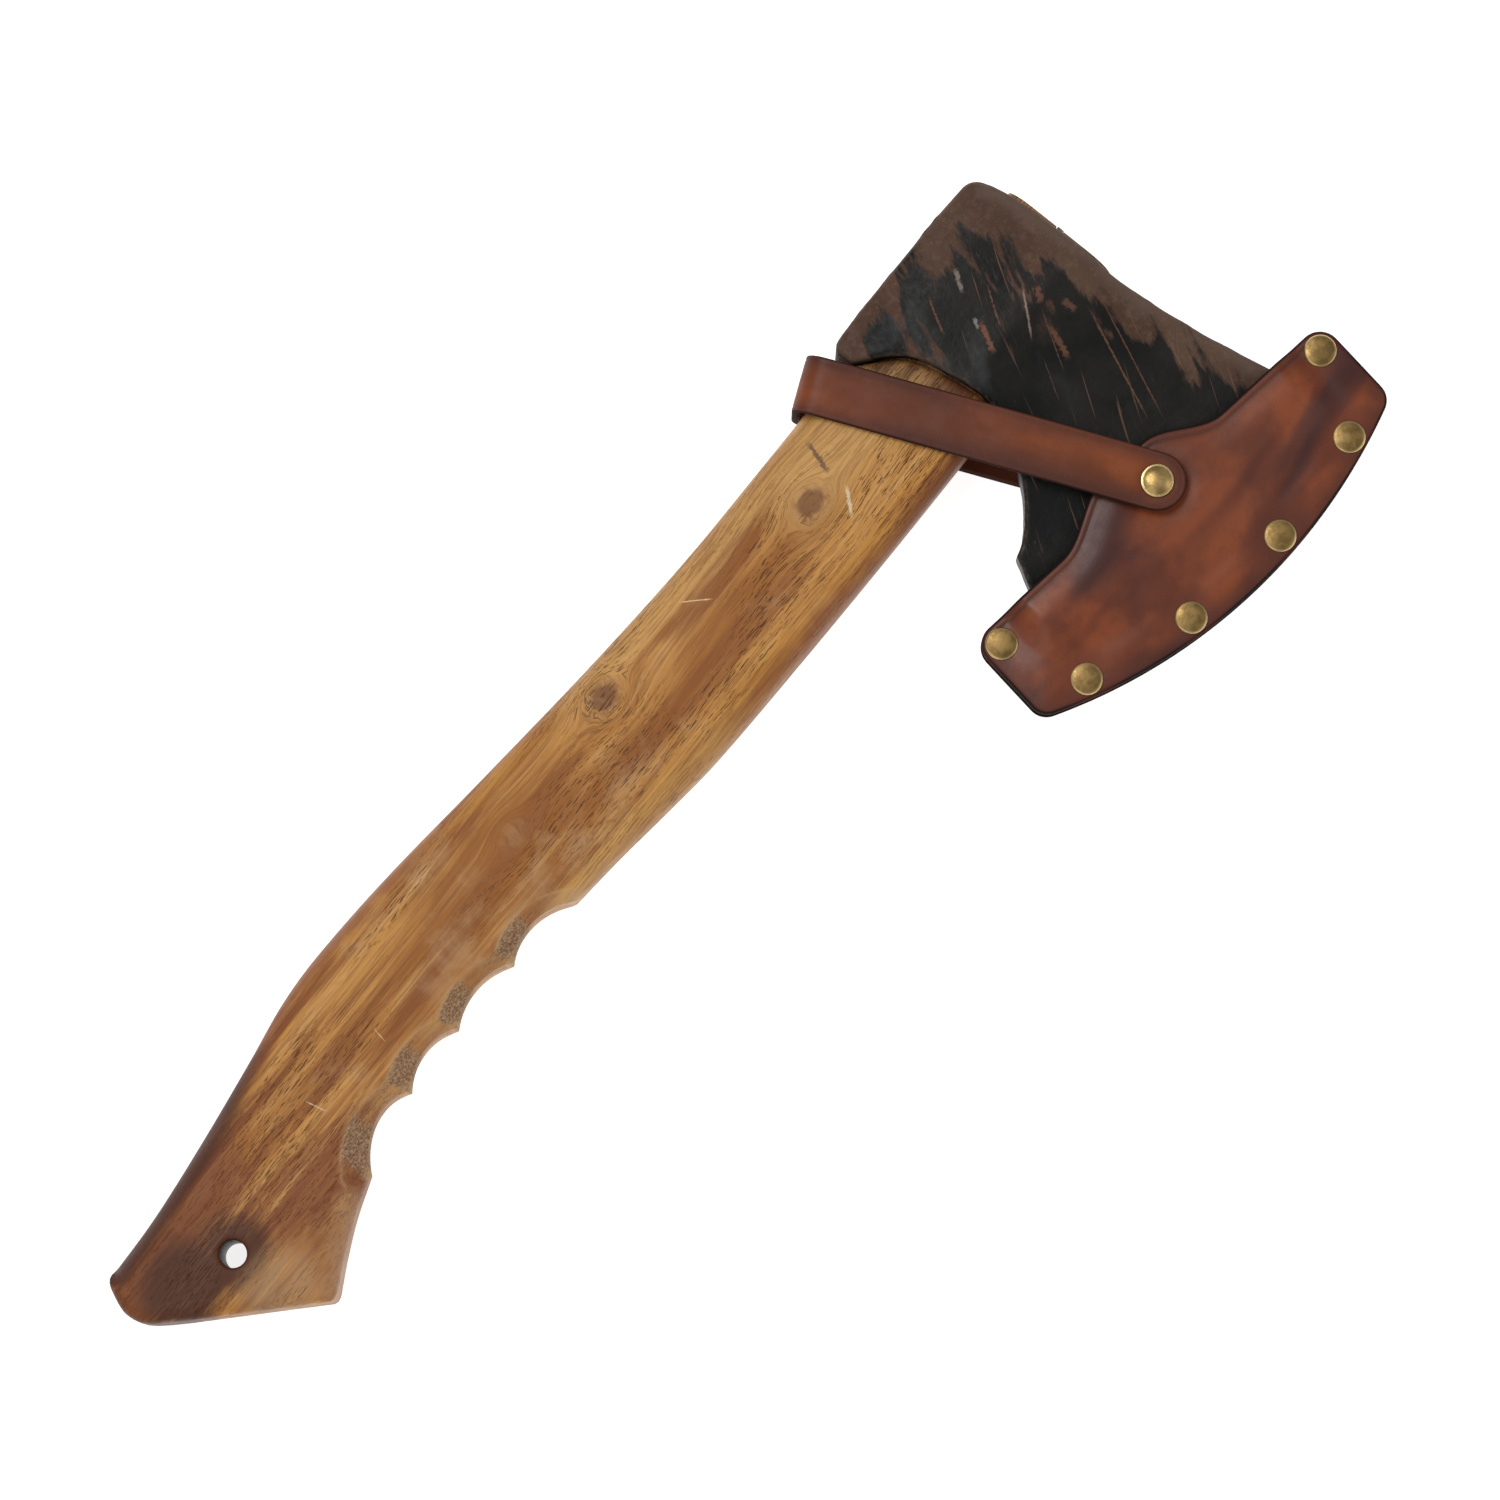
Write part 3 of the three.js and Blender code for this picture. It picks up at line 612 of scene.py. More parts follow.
def wood_material():
    g = Graph("oiled_wood")
    grain = g.vector("grain")
    groove = g.value("groove")
    knot = g.value("knot")
    broad = g.noise(g.scaled(grain, (0.0105, 0.075, 0.075), WOOD_SHIFT), 1, 3, 0.5, 0.3)
    streak = g.noise(grain, (0.016, 0.3, 0.3), 4, 0.6, 0.25)
    fibre = g.noise(grain, (0.06, 1.7, 1.7), 5, 0.7)
    blotch = g.noise(grain, 0.05, 4, 0.6)
    ragged = g.plus(g.swing(streak, 1.6), g.swing(fibre, 0.9))
    ring = g.noise(grain, (0.25, 0.25, 0.25), 4, 0.6, 1.2)
    pore = g.noise(grain, (0.22, 3.3, 3.3), 1, 0.5)
    patch = g.noise(grain, (0.02, 0.1, 0.1), 2)
    pores = g.times(g.ramp(pore, 0.615, 0.68), g.ramp(patch, 0.4, 0.58))
    specks = g.times(g.ramp(g.cells(g.scaled(grain, (0.28, 1.25, 1.25))), 0.2, 0.1), 0.5)
    pores = g.larger(pores, g.times(specks, g.ramp(patch, 0.3, 0.6)))
    wobble = g.swing(g.noise(grain, 0.09, 3), 9)
    rim = g.times(g.ramp(g.plus(g.value("edge"), wobble), 6.5, 1), g.value("ruddy"))
    speckle = g.noise(grain, (1.3, 1.9, 1.9), 4, 0.7)
    base = g.layers(
        g.mix(g.ramp(broad, 0.36, 0.62), WOOD_DARK, WOOD_LIGHT),
        (g.ramp(streak, 0.5, 0.68, 0, 0.72), WOOD_STREAK),
        (g.ramp(streak, 0.47, 0.3, 0, 0.5), WOOD_PALE),
        (g.value("pale"), WOOD_PALE, 0.7),
        (g.ramp(g.plus(g.value("band"), ragged), 0.25, 0.95), WOOD_BAND, 0.8),
        (g.ramp(fibre, 0.42, 0.66, 0, 0.6), WOOD_FIBRE),
        (g.ramp(blotch, 0.52, 0.72, 0, 0.35), WOOD_WEAR_AND_HIGHLIGHT),
        (knot, g.mix(g.ramp(ring, 0.4, 0.6), *KNOT_RING), 0.8),
        (g.ramp(knot, 0.78, 0.98, 0, 0.75), KNOT_CORE),
        (pores, WOOD_PORE, 0.8),
        (rim, WOOD_RIM, 0.72),
        (g.ramp(g.plus(g.value("warm"), ragged), 0.2, 1), WOOD_RUDDY, 0.82),
        # dark stains, and painted shade on the wood under the head's lip
        (g.ramp(g.plus(g.value("stain"), g.times(ragged, 0.45)), 0.2, 0.95), WOOD_DIRT_AND_SHADE, 0.9),
        (groove, g.mix(g.ramp(speckle, 0.4, 0.62), *ROUGH_CUT), 0.82),
        # worn tips, groove lips and flare, and a painted highlight on the lit half of each groove's
        # slope
        (g.times(g.value("worn"), g.ramp(fibre, 0.35, 0.6, 0.45, 1)), WOOD_WEAR_AND_HIGHLIGHT),
        *[(g.mark(g.vector("flat_grain"), *place), tone) for place, tone in WOOD_MARKS],
    )
    height = g.plus(g.times(fibre, 0.5), g.times(pores, -0.9))
    height = g.plus(height, g.times(g.times(speckle, groove), 2.5))
    rough_wood = g.plus(g.ramp(streak, 0.3, 0.7, 0.42, 0.56), g.times(groove, 0.25))
    return g.finish(base, rough_wood, g.bump(height, 0.00018), specular_ior_level=0.24)


def wedge_material():
    g = Graph("wedge_end_grain")
    place = g.place()
    grain = g.noise(place, (900, 300, 900), 4, 0.6)
    base = g.mix(g.ramp(grain, 0.35, 0.65), (92, 58, 33), (150, 104, 62))
    return g.finish(base, 0.75, g.bump(grain, 0.0002))


STROKE_TURN = 0.43
STEEL_BLACK = (14, 14, 13)
STEEL_SCALE = (31, 29, 26)
STEEL_GREY = (70, 72, 74)
STEEL_BRIGHT = ((120, 116, 112), (176, 172, 168))
STEEL_TOP_WEAR_AND_HIGHLIGHT = (108, 92, 82)
STEEL_CORNER = (110, 92, 80)
STEEL_SCRATCH = (122, 92, 76)
COPPER = ((96, 62, 48), (128, 84, 62))
RUST = ((78, 54, 41), (94, 71, 57))
RUST_PALE = (112, 92, 80)
RUST_GRIT = (140, 118, 100)
# scratches on the cheek: (a, p of the start, a, p of the end, width in millimetres), colour
STEEL_MARKS = [
    (((5.3, 46.2), (19.4, 80.2), 0.7), (112, 78, 60)),
    (((0.7, 46.3), (16.5, 83.3), 0.6), (104, 72, 56)),
    (((12.4, 29.3), (23.2, 41.7), 0.8), (142, 124, 110)),
    (((16.2, 41.6), (20.2, 52.6), 2.2), (108, 72, 54)),
    (((27.4, 26.6), (32.5, 36.2), 2.2), (118, 78, 58)),
    (((27.9, 25.2), (30.0, 28.4), 1.4), (128, 126, 126)),
    (((31.1, 11.6), (37.2, 22.4), 0.9), (104, 72, 56)),
    (((10.5, 32.5), (13.6, 37.2), 2.6), (104, 68, 52)),
    (((9.0, 40.5), (8.5, 45.5), 2.6), (100, 70, 56)),
    (((20.5, 12.5), (25.0, 19.0), 1.8), (128, 118, 110)),
    (((-5.2, 69.3), (1.0, 75.0), 0.7), (104, 76, 62)),
    (((18.5, 22.0), (26.0, 33.0), 0.7), (108, 78, 64)),
    (((14.0, 37.0), (24.0, 54.0), 0.5), (96, 70, 58)),
    (((24.0, 46.0), (31.0, 58.0), 0.5), (84, 66, 56)),
]


def steel_material():
    g = Graph("forged_scale")
    place = g.place()
    top, poll, lip, ground = (g.value(name) for name in ("top", "poll", "lip", "ground"))
    lumps = g.noise(place, 45, 5, 0.6)
    fine = g.noise(place, 500, 4, 0.6)
    grit = g.noise(place, 1600, 3, 0.6)
    sheen = g.noise(g.scaled(place, (75, 45, 60), (0.3, 0, 0), 0.6), 1, 3, 0.5)

    # rust comes in from the poll and the top edge, broken up along the strokes of the blows
    strokes = g.noise(g.scaled(place, (190, 48, 120), turn=STROKE_TURN), 1, 4, 0.6)
    near = g.larger(g.ramp(poll, 12, 1.5, 0.0, 0.85), g.ramp(top, 19, 3, 0.0, 0.95))
    near = g.larger(near, g.ramp(g.plus(top, poll), 62, 18, 0, 0.95))
    near = g.larger(near, g.ramp(lip, 9, 0.5, 0, 0.5))
    wear = g.ramp(g.plus(near, g.swing(strokes, 2.9)), 0.42, 0.78)
    inner = g.ramp(g.plus(top, poll), 78, 30)
    flecks = g.times(g.ramp(strokes, 0.56, 0.64), g.times(inner, 0.9))
    rust = g.layers(
        g.mix(g.ramp(lumps, 0.4, 0.62), *RUST),
        (g.ramp(fine, 0.45, 0.7, 0, 0.4), RUST_PALE),
        (g.ramp(grit, 0.62, 0.74, 0, 0.5), RUST_GRIT),
    )

    # fine scratches everywhere, and the few long ones on the front
    fine_marks = []
    for turn, across, size, seed in ((STROKE_TURN, 1300, 28, 0.0), (STROKE_TURN + 0.16, 1100, 34, 3.1)):
        line = g.noise(g.scaled(place, (across, size, size), (seed, seed, 0), turn), 1, 1, 0.4)
        zone = g.noise(g.scaled(place, (36, 36, 36), (seed * 2, 0, 0)), 1, 2)
        fine_marks.append(g.times(g.ramp(line, 0.68, 0.74), g.ramp(zone, 0.48, 0.6)))
    scratched = fine_marks = g.larger(*fine_marks)
    long_marks = []
    for where, tone in STEEL_MARKS:
        mark = g.mark(g.vector("plan"), *where)
        long_marks.append((g.times(mark, g.times(g.value("front"), 0.75)), tone))
        scratched = g.larger(scratched, mark)
    base = g.layers(
        g.mix(g.ramp(lumps, 0.35, 0.65), STEEL_BLACK, STEEL_SCALE),
        (g.times(g.ramp(sheen, 0.5, 0.68), g.ramp(lip, 30, 3)), STEEL_GREY, 0.55),
        (flecks, g.mix(g.ramp(fine, 0.4, 0.6), *COPPER), 0.8),
        (wear, rust, 0.92),
        # a paler grey-brown band along the top edge: worn steel and a painted highlight
        (g.ramp(g.plus(top, g.swing(lumps, 16)), 5, 0.3), STEEL_TOP_WEAR_AND_HIGHLIGHT, 0.45),
        (fine_marks, STEEL_SCRATCH, 0.55),
        *long_marks,
        (g.ramp(g.plus(g.value("edge"), g.swing(fine, 3)), 1.0, 0.1), STEEL_CORNER, 0.25),
        (ground, g.mix(g.noise(place, (40, 900, 900), 3), *STEEL_BRIGHT)),
    )
    height = g.plus(g.times(lumps, 1.6), g.times(fine, 0.35))
    height = g.plus(height, g.times(grit, g.times(wear, 0.3)))
    height = g.minus(height, g.times(scratched, 0.4))
    rough_steel = g.plus(g.ramp(fine, 0.3, 0.7, 0.4, 0.54), g.times(wear, 0.2))
    metallic = g.larger(g.times(ground, 0.9), 0.15)
    return g.finish(base, rough_steel, g.bump(height, 0.00035), metallic, specular_ior_level=0.2)


LEATHER_BURNISHED = (62, 24, 18)
LEATHER_CUT = (16, 8, 7)
LEATHER_CREASE = (48, 20, 16)
LEATHER_DIMPLE_SHADE = (78, 32, 22)


def leather_material(name, light, mid, dark, streaks, gloss, coat, coordinates=None):
    """Dyed, waxed leather: mottled colour, a darker burnished edge and a fine grain."""
    g = Graph(name)
    place = g.vector(coordinates) if coordinates else g.place()
    if coordinates:
        place = g.scaled(place, (MM, MM, MM))
    edge = g.value("edge")
    cloud = g.noise(g.scaled(place, streaks, (0.2, 0.1, 0)), 1, 3, 0.45, 0.3)
    smoke = g.noise(place, (40, 40, 40), 3, 0.5)
    fine = g.noise(place, 300, 4, 0.6)
    base = g.layers(
        g.mix(g.ramp(cloud, 0.42, 0.6), mid, light),
        (g.ramp(cloud, 0.54, 0.38, 0, 0.95), dark),
        (g.ramp(smoke, 0.48, 0.64, 0, 0.55), dark),
        (g.ramp(fine, 0.45, 0.75, 0, 0.2), dark),
        (g.ramp(g.plus(edge, g.swing(smoke, 6)), 6.5, 0.6), LEATHER_BURNISHED, 0.6),
        (g.ramp(edge, 1.0, 0.3), LEATHER_CUT),
        (g.value("crease"), LEATHER_CREASE, 0.5),
        # painted shade in the dimples round the rivets and the snap
        (g.value("dip"), LEATHER_DIMPLE_SHADE, 0.5),
    )
    pebble = g.cells(place, 1500)
    height = g.plus(g.times(pebble, 0.3), g.times(fine, 0.5))
    roughness = g.larger(g.ramp(fine, 0.3, 0.7, gloss, gloss + 0.1), g.ramp(edge, 1.2, 0.5, 0, 0.95))
    # the cut edges carry no wax
    g.put(g.shader.inputs["Coat Weight"], g.ramp(edge, 0.6, 1.6, 0, coat))
    normal = g.bump(height, 0.00006)
    return g.finish(base, roughness, normal, specular_ior_level=0.28, coat_roughness=0.26)


def welt_material():
    g = Graph("burnished_welt")
    place = g.place()
    layers = g.noise(place, (60, 60, 2200), 2, 0.5)
    base = g.mix(g.ramp(layers, 0.4, 0.6), (22, 13, 11), (46, 26, 20))
    return g.finish(base, 0.9, g.bump(layers, 0.0001), specular_ior_level=0.0)


def metal_material(name, light, dark, shine):
    g = Graph(name)
    place = g.place()
    cloud = g.noise(place, 330, 4, 0.6)
    fine = g.noise(place, 2200, 3, 0.6)
    rim = g.value("rim")
    base = g.mix(g.ramp(cloud, 0.35, 0.65), dark, light)
    # a painted highlight: the caps' rims are painted pale gold
    base = g.mix(rim, base, (232, 206, 146), 0.75)
    height = g.plus(g.times(cloud, 0.6), g.times(fine, 0.4))
    roughness = g.minus(g.ramp(fine, 0.3, 0.7, shine, shine + 0.14), g.times(rim, 0.1))
    return g.finish(base, roughness, g.bump(height, 0.00003), metallic=1.0)


WOOD = wood_material()
WEDGE_WOOD = wedge_material()
FORGED = steel_material()
MASK_LEATHER = leather_material(
    "mask_leather", (134, 66, 33), (105, 50, 28), (64, 28, 24), (15, 50, 30), 0.4, 0.14
)
STRAP_LEATHER = leather_material(
    "strap_leather", (130, 63, 22), (114, 52, 17), (94, 42, 15), (18, 44, 30), 0.5, 0.05, "flat"
)
WELT = welt_material()
AGED_BRASS = metal_material("aged_brass", (144, 118, 74), (114, 91, 55), 0.35)
BRIGHT_BRASS = metal_material("bright_brass", (184, 156, 101), (150, 124, 78), 0.28)
DULL_STEEL = metal_material("dull_steel", (124, 119, 113), (86, 82, 78), 0.45)


def finished(piece, material, slot, body, *nodes):
    """Gives a piece its material and place in the model."""
    piece.data.materials.clear()
    piece.data.materials.append(material)
    if nodes:
        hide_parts(*nodes)
    if body:
        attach(piece, body)
    return piece


# ---- head

cheek = through([
    (0, 13.6), (5, 14.6), (13, CHEEK_HALF), (35, CHEEK_HALF), (43, 12.6), (49, 11.1), (60, 8.9),
    (75, 6.7), (95, 4.9), (110, 3.7), (125, 3.2),
])


def to_bit(a, p):
    """Distance from each place back to the arc of the cutting edge."""
    return BIT_RADIUS - np.hypot(a - MASK_CENTRE[0], p - MASK_CENTRE[1])


def blade_half(a, p):
    """Half the blade's thickness: the cheek's taper, ground down to the cutting edge."""
    from_edge = to_bit(a, p)
    bevel = np.maximum(BIT_EDGE_HALF + from_edge * BEVEL_SLOPE, BIT_EDGE_HALF)
    sharp = cheek(p)
    # the bevel runs into the cheek over a short curve
    blend = np.clip((bevel - sharp) / 0.8 * 0.5 + 0.5, 0, 1)
    return bevel * (1 - blend) + sharp * blend - 0.2 * blend * (1 - blend)


def eye_ring(a, inset, steps=6):
    """The rounded section of the eye, or of the tenon in it, at one place along a."""
    start, end, half, corner = EYE[0] + inset, EYE[1] - inset, EYE[2] - inset, EYE[3] - inset
    corners = [
        ((end - corner, half - corner), 0), ((start + corner, half - corner), 90),
        ((start + corner, corner - half), 180), ((end - corner, corner - half), 270),
    ]
    ring = np.vstack([arc(centre, corner, turn, turn + 90, steps) for centre, turn in corners])
    return np.column_stack([np.full(len(ring), float(a)), ring])


def head_stretches():
    """The head's outline: poll face, lip over the handle, beard, cutting edge and top edge."""
    poll = soften([(-3.2, 6), (-1.6, 1.6), (1.8, 0), (29, 0), (56, 0), (58.5, 1.8), (58.6, 7.1)], 3)
    lip = soften([
        (58.6, 7.1), (53, 11.5), (48, 16.5), (45.6, 21.5), (44.3, 27.5), (43.1, 35), (42.8, 43),
        (44.4, 49), (49, 57.4), (55.2, 64.7), (60.5, 69.7), (66, 73.2), (70.3, 74.6),
    ])
    beard = soften([(70.3, 74.6), (74.5, 82.3), (79.2, 91), (84, 99), (85.4, 101.6)])
    a = np.linspace(84.6, -12.5, 80)
    edge = np.column_stack([a, MASK_CENTRE[1] + np.sqrt(BIT_RADIUS**2 - (a - MASK_CENTRE[0]) ** 2)])
    top = soften([
        tuple(edge[-1]), (-16, 115.2), (-17.1, 111.5), (-13, 96.6), (-7.9, 71.3), (-5.1, 49.7),
        (-5.5, 39.6), (-5.1, 23.9), (-4.5, 12), (-3.2, 6),
    ])
    return poll, lip, np.vstack([beard, edge[:1]]), edge, top


def make_head():
    poll, lip, beard, edge, top = [resample(s, 1.0) for s in head_stretches()]
    loop = np.vstack([s[:-1] for s in (poll, lip, beard, edge, top)])
    dent = rough(loop, 7, 1.5) * 0.22 + rough(loop, 2.4, 4.0) * 0.1
    hold = ease(0, 1, np.abs(loop[:, 1] - 90) / 10)
    loop = loop + sideways(loop) * (dent * hold)[:, None]
    flat = Flat(loop, spacing=1.9, insets=(0.25, 0.6, 1.1, 1.8))
    points = flat.points
    half = blade_half(points[:, 0], points[:, 1])
    stretches = [
        (poll, 2.0, 1.6, 2), (lip, 1.4, 1.2, 2), (beard, 1.2, 0.9, 2), (top, 0.8, 1.3, 1.7),
    ]
    height = np.maximum(rounded(half, stretches, points), 0.12)
    calm = ease(0, 3, half)

    def hammered(broad, fine):
        swell = rough(points, 19, broad) * 0.22 + rough(points, 6, fine) * 0.07
        return height + (swell - 0.25) * calm

    head = flat.body("head_forged", hammered(2.0, 5.0), -hammered(9.0, 11.0), from_bench, 6)
    rings = [eye_ring(a, 0, 8) for a in (-30, 100)]
    combine(head, tube("eye_tool", rings, from_bench), "DIFFERENCE")
    places = bench_points(head)
    plan = places[:, :2]
    near = np.min([distance(plan, s)[0] for s in (poll, lip, beard, top)], axis=0)
    below = np.maximum(0, blade_half(*plan.T) - np.abs(places[:, 2]) - 1.5)
    paint(
        head,
        edge=near + below,
        top=distance(plan, top)[0],
        poll=distance(plan, poll)[0],
        lip=distance(plan, lip[: len(lip) // 2])[0],
        plan=np.column_stack([plan, np.zeros(len(plan))]),
        front=ease(-1, 1, places[:, 2]),
        ground=ease(14.5, 12.5, to_bit(*plan.T)) * 0.85,
    )
    return finished(head, FORGED, "forged_steel", "axe", "head")


# ---- handle

poll_side = through([
    (30, 5), (91, 5.6), (127, 5.5), (164, 3.7), (207, 0.3), (246, -3.1), (275, -4.1), (290, -3.1),
    (306, -0.3), (333, 4), (355, 6.8), (372, 7.7), (390, 8),
])
bit_side = through([
    (30, 46.6), (91, 47.2), (130, 46.9), (165, 46.1), (185, 44.2), (201, 42.4), (218.1, 41),
])
flare = through([(310, 44.4), (321.8, 48.7), (331.8, 53.4), (341, 58.2), (352, 62), (390, 62)])
handle_half = through([
    (30, 12.5), (120, 12.5), (200, 12.2), (262, 12.4), (310, 13.2), (345, 15.1), (372, 15.2),
    (390, 15.2),
])
TIPS = [(218.1, 41), (241.8, 38.2), (264.8, 37.7), (285.9, 38.6), (310, 44.4)]
GROOVE_DEPTHS = [4.1, 3.5, 3.6, 5.2]
GROOVE_SLOPES = [5.0, 5.5, 6.4, 7.6]
SLOPE_AT_TOP = 3.2
# dark streaks in the wood: their line as (a, p), half-width, strength
STREAKS = [
    ([(104, 15.0), (124, 17.2), (140, 16.4), (156, 15.0)], 2.6, 1.0),
    ([(96, 33.0), (118, 32.0), (139, 31.0), (165, 29.3), (196, 28.4)], 3.2, 0.85),
    ([(176, 15.2), (202, 16.8), (226, 20.2), (263, 22.7), (282, 25.5)], 3.0, 1.0),
    ([(214, 7.0), (236, 3.5), (262, 2.5)], 2.5, 0.7),
    ([(196, 36.0), (214, 34.0), (240, 31.5)], 2.0, 0.6),
]


def groove_line(i):
    """The arc of one finger groove, from the tip nearer the head to the next."""
    (a0, p0), (a1, p1) = TIPS[i], TIPS[i + 1]
    half = (a1 - a0) / 2
    depth = GROOVE_DEPTHS[i]
    radius = (half**2 + depth**2) / (2 * depth)
    a = np.linspace(a0, a1, 26)
    sink = np.sqrt(radius**2 - (a - a0 - half) ** 2) - (radius - depth)
    return np.column_stack([a, p0 + (p1 - p0) * (a - a0) / (2 * half) - sink])


def groove_band(i, along):
    """Width of a cut's slope, from the groove's end nearer the butt to its other end."""
    return GROOVE_SLOPES[i] + (SLOPE_AT_TOP - GROOVE_SLOPES[i]) * along


def groove_crease(i, line, off):
    """The line where a groove's slope meets the face, or one at a small distance from it."""
    ahead = np.gradient(line, axis=0)
    ahead /= np.linalg.norm(ahead, axis=1)[:, None]
    inward = np.column_stack([ahead[:, 1], -ahead[:, 0]])
    inward *= np.sign((inward * (0, -1)).sum(1))[:, None]
    band = groove_band(i, np.linspace(0, 1, len(line)))
    return resample(line + inward * (band + off)[:, None], 0.7)


def handle_stretches():
    """The handle's outline: poll side, butt, flare, finger grooves, bit side and head end."""
    a = np.linspace(59.4, 373, 160)
    poll = np.column_stack([a, poll_side(a)])
    butt = soften([(373, 7.7), (375.6, 8.0), (377.2, 9.8), (379.9, 16), (380, 19.6), (378.6, 24.2),
                   (360, 41.8), (344.2, 56.8), (342.2, 58.7), (338.5, float(flare(338.5)))], 2)
    a = np.linspace(338.5, 310, 16)
    swell = np.column_stack([a, flare(a)])
    a = np.linspace(218.1, 46.4, 90)
    bit = np.column_stack([a, bit_side(a)])
    lip = soften([tuple(bit[-1]), (44.2, 46.2), (43.3, 43), (43.6, 35.1), (44.8, 27.6), (46.1, 21.8),
                  (48.5, 16.8), (53.5, 12), (59, 7.6), (59.4, float(poll_side(59.4)))])
    grooves = [groove_line(i)[::-1] for i in (3, 2, 1, 0)]
    return poll, butt, swell, grooves, bit, lip


# knots in the wood, as (a, p, radius)
GRAIN_KNOTS = [(95, 22.5, 5.2), (171, 12.5, 5), (215, 17, 3.6)]


def spot(a, p, middle, reach=(1, 1)):
    """Distance from the middle of an oval spot, counted in its reach along a and p."""
    return np.hypot((a - middle[0]) / reach[0], (p - middle[1]) / reach[1])


def knot_flow(a, p):
    """Where the grain at each point comes from across the handle: it bends round the knots."""
    across = p.copy()
    for ka, kp, size in GRAIN_KNOTS:
        away = np.maximum(spot(a, p, (ka, kp), (1.5, 1)), size * 0.8)
        across -= (p - kp) * (size / away) ** 2
    return across


def make_tenon():
    """The handle's end in the head's eye, cut for its two wedges."""
    rings = [eye_ring(a, TENON_GAP, 6) for a in (TENON_END, 10, 30, 62)]
    tenon = tube("tenon", rings, from_bench)
    for size in WEDGE_CUTS:
        middle = (TENON_END + size[0] / 2 - TENON_GAP, EYE_MIDDLE, 0)
        combine(tenon, block("kerf_tool", size, middle), "DIFFERENCE")
    return tenon


def deepest_groove(plan, cuts):
    """For the groove whose slope each place is deepest in: the place's share of the slope, how
    far along the groove it is, and the slope's width there."""
    share = np.full(len(plan), 9.0)
    along = np.zeros(len(plan))
    width = np.ones(len(plan))
    for i, line in cuts:
        away, at = distance(plan, line)
        band = groove_band(i, at)
        nearer = away / band < share
        share = np.where(nearer, away / band, share)
        along = np.where(nearer, at, along)
        width = np.where(nearer, band, width)
    return share, along, width


def streaks(plan):
    """How strong the dark streaks are at each place."""
    strengths = []
    for line, half_width, strength in STREAKS:
        away, at = distance(plan, resample(soften(line), 3))
        ends = ease(0, 0.2, at) * ease(1, 0.8, at)
        strengths.append(strength * ends * ease(half_width * 1.9, half_width * 0.4, away))
    return most(*strengths)


def paint_handle(handle, cuts, *sides):
    """What the wood's material reads: edges, cuts, wear and a painted highlight, stains and painted
    shade, streaks and knots.
    """
    places = bench_points(handle)
    a, p, z = places.T
    plan = places[:, :2]
    poll, butt, swell, bit, lip = [distance(plan, side)[0] for side in sides]
    share, along, width = deepest_groove(plan, cuts)
    within = ease(1.04, 0.96, share)
    cut = within * (0.1 + 0.9 * ease(0.52, 0.36, along))
    # a painted highlight on the half of each groove's slope towards the head, laid in with the wear
    lit = ease(0.5, 0.8, along) * within
    worn = most(
        0.3 * lit,
        0.55 * ridge((share - 1) * width, 0, 0.45),
        *[0.7 * ease(3, 1, spot(a, p, tip)) for tip in TIPS],
        0.5 * ease(15, 5, spot(a, p, (348, 46), (1.2, 0.9))),
        0.45 * ease(8, 3, swell) * ease(312, 322, a),
    )
    stain = most(
        1.15 * ease(1.3, 0.2, spot(a, p, (364, 25), (19, 14))),
        0.95 * ease(19, 4, spot(a, p, HOLE_PLACE)),
        0.5 * ease(1.2, 0.3, spot(a, p, (352, 43), (10, 8))),
        0.95 * ease(9, 1.5, poll) * ease(285, 325, a),
        0.5 * ease(4, 0.5, butt) * ease(40, 32, p),
        # painted shade on the wood under the head's lip
        0.8 * ease(15, 1, lip) * ease(64, 54, a),
        0.6 * ease(6, 0, a),
    )
    warm = most(
        0.9 * ease(1.4, 0.3, spot(a, p, (320, 34), (34, 12))),
        0.95 * ease(305, 345, a) * ease(44, 28, p),
        0.42 * ease(225, 300, a),
    )
    pale = most(
        ease(11, 4, poll) * ease(70, 90, a) * ease(190, 160, a),
        0.8 * ease(9, 3, bit) * ease(140, 165, a) * ease(260, 225, a),
        ease(112, 92, a) * ease(34, 22, p),
    )
    knots = [
        ease(size * 1.25, size * 0.5, spot(a, p, (ka, kp), (1.3, 1))) * ease(2, 5, size)
        for ka, kp, size in GRAIN_KNOTS
    ]
    # the marks are on the front only: everything else is moved out of their reach
    face = ease(0, 4, z)
    paint(
        handle,
        edge=np.min([poll, bit, swell], axis=0),
        groove=cut * ease(213, 216, a) * ease(312, 311, a),
        worn=worn,
        stain=stain,
        warm=warm,
        pale=pale,
        band=streaks(plan),
        knot=most(*knots),
        ruddy=0.25 + 0.75 * np.maximum(ease(30, 44, p) * ease(160, 120, a), ease(215, 250, a)),
        grain=np.column_stack([a, knot_flow(a, p), z * 0.6]),
        flat_grain=np.column_stack([a + 900 * (1 - face), p, np.zeros(len(a))]),
    )


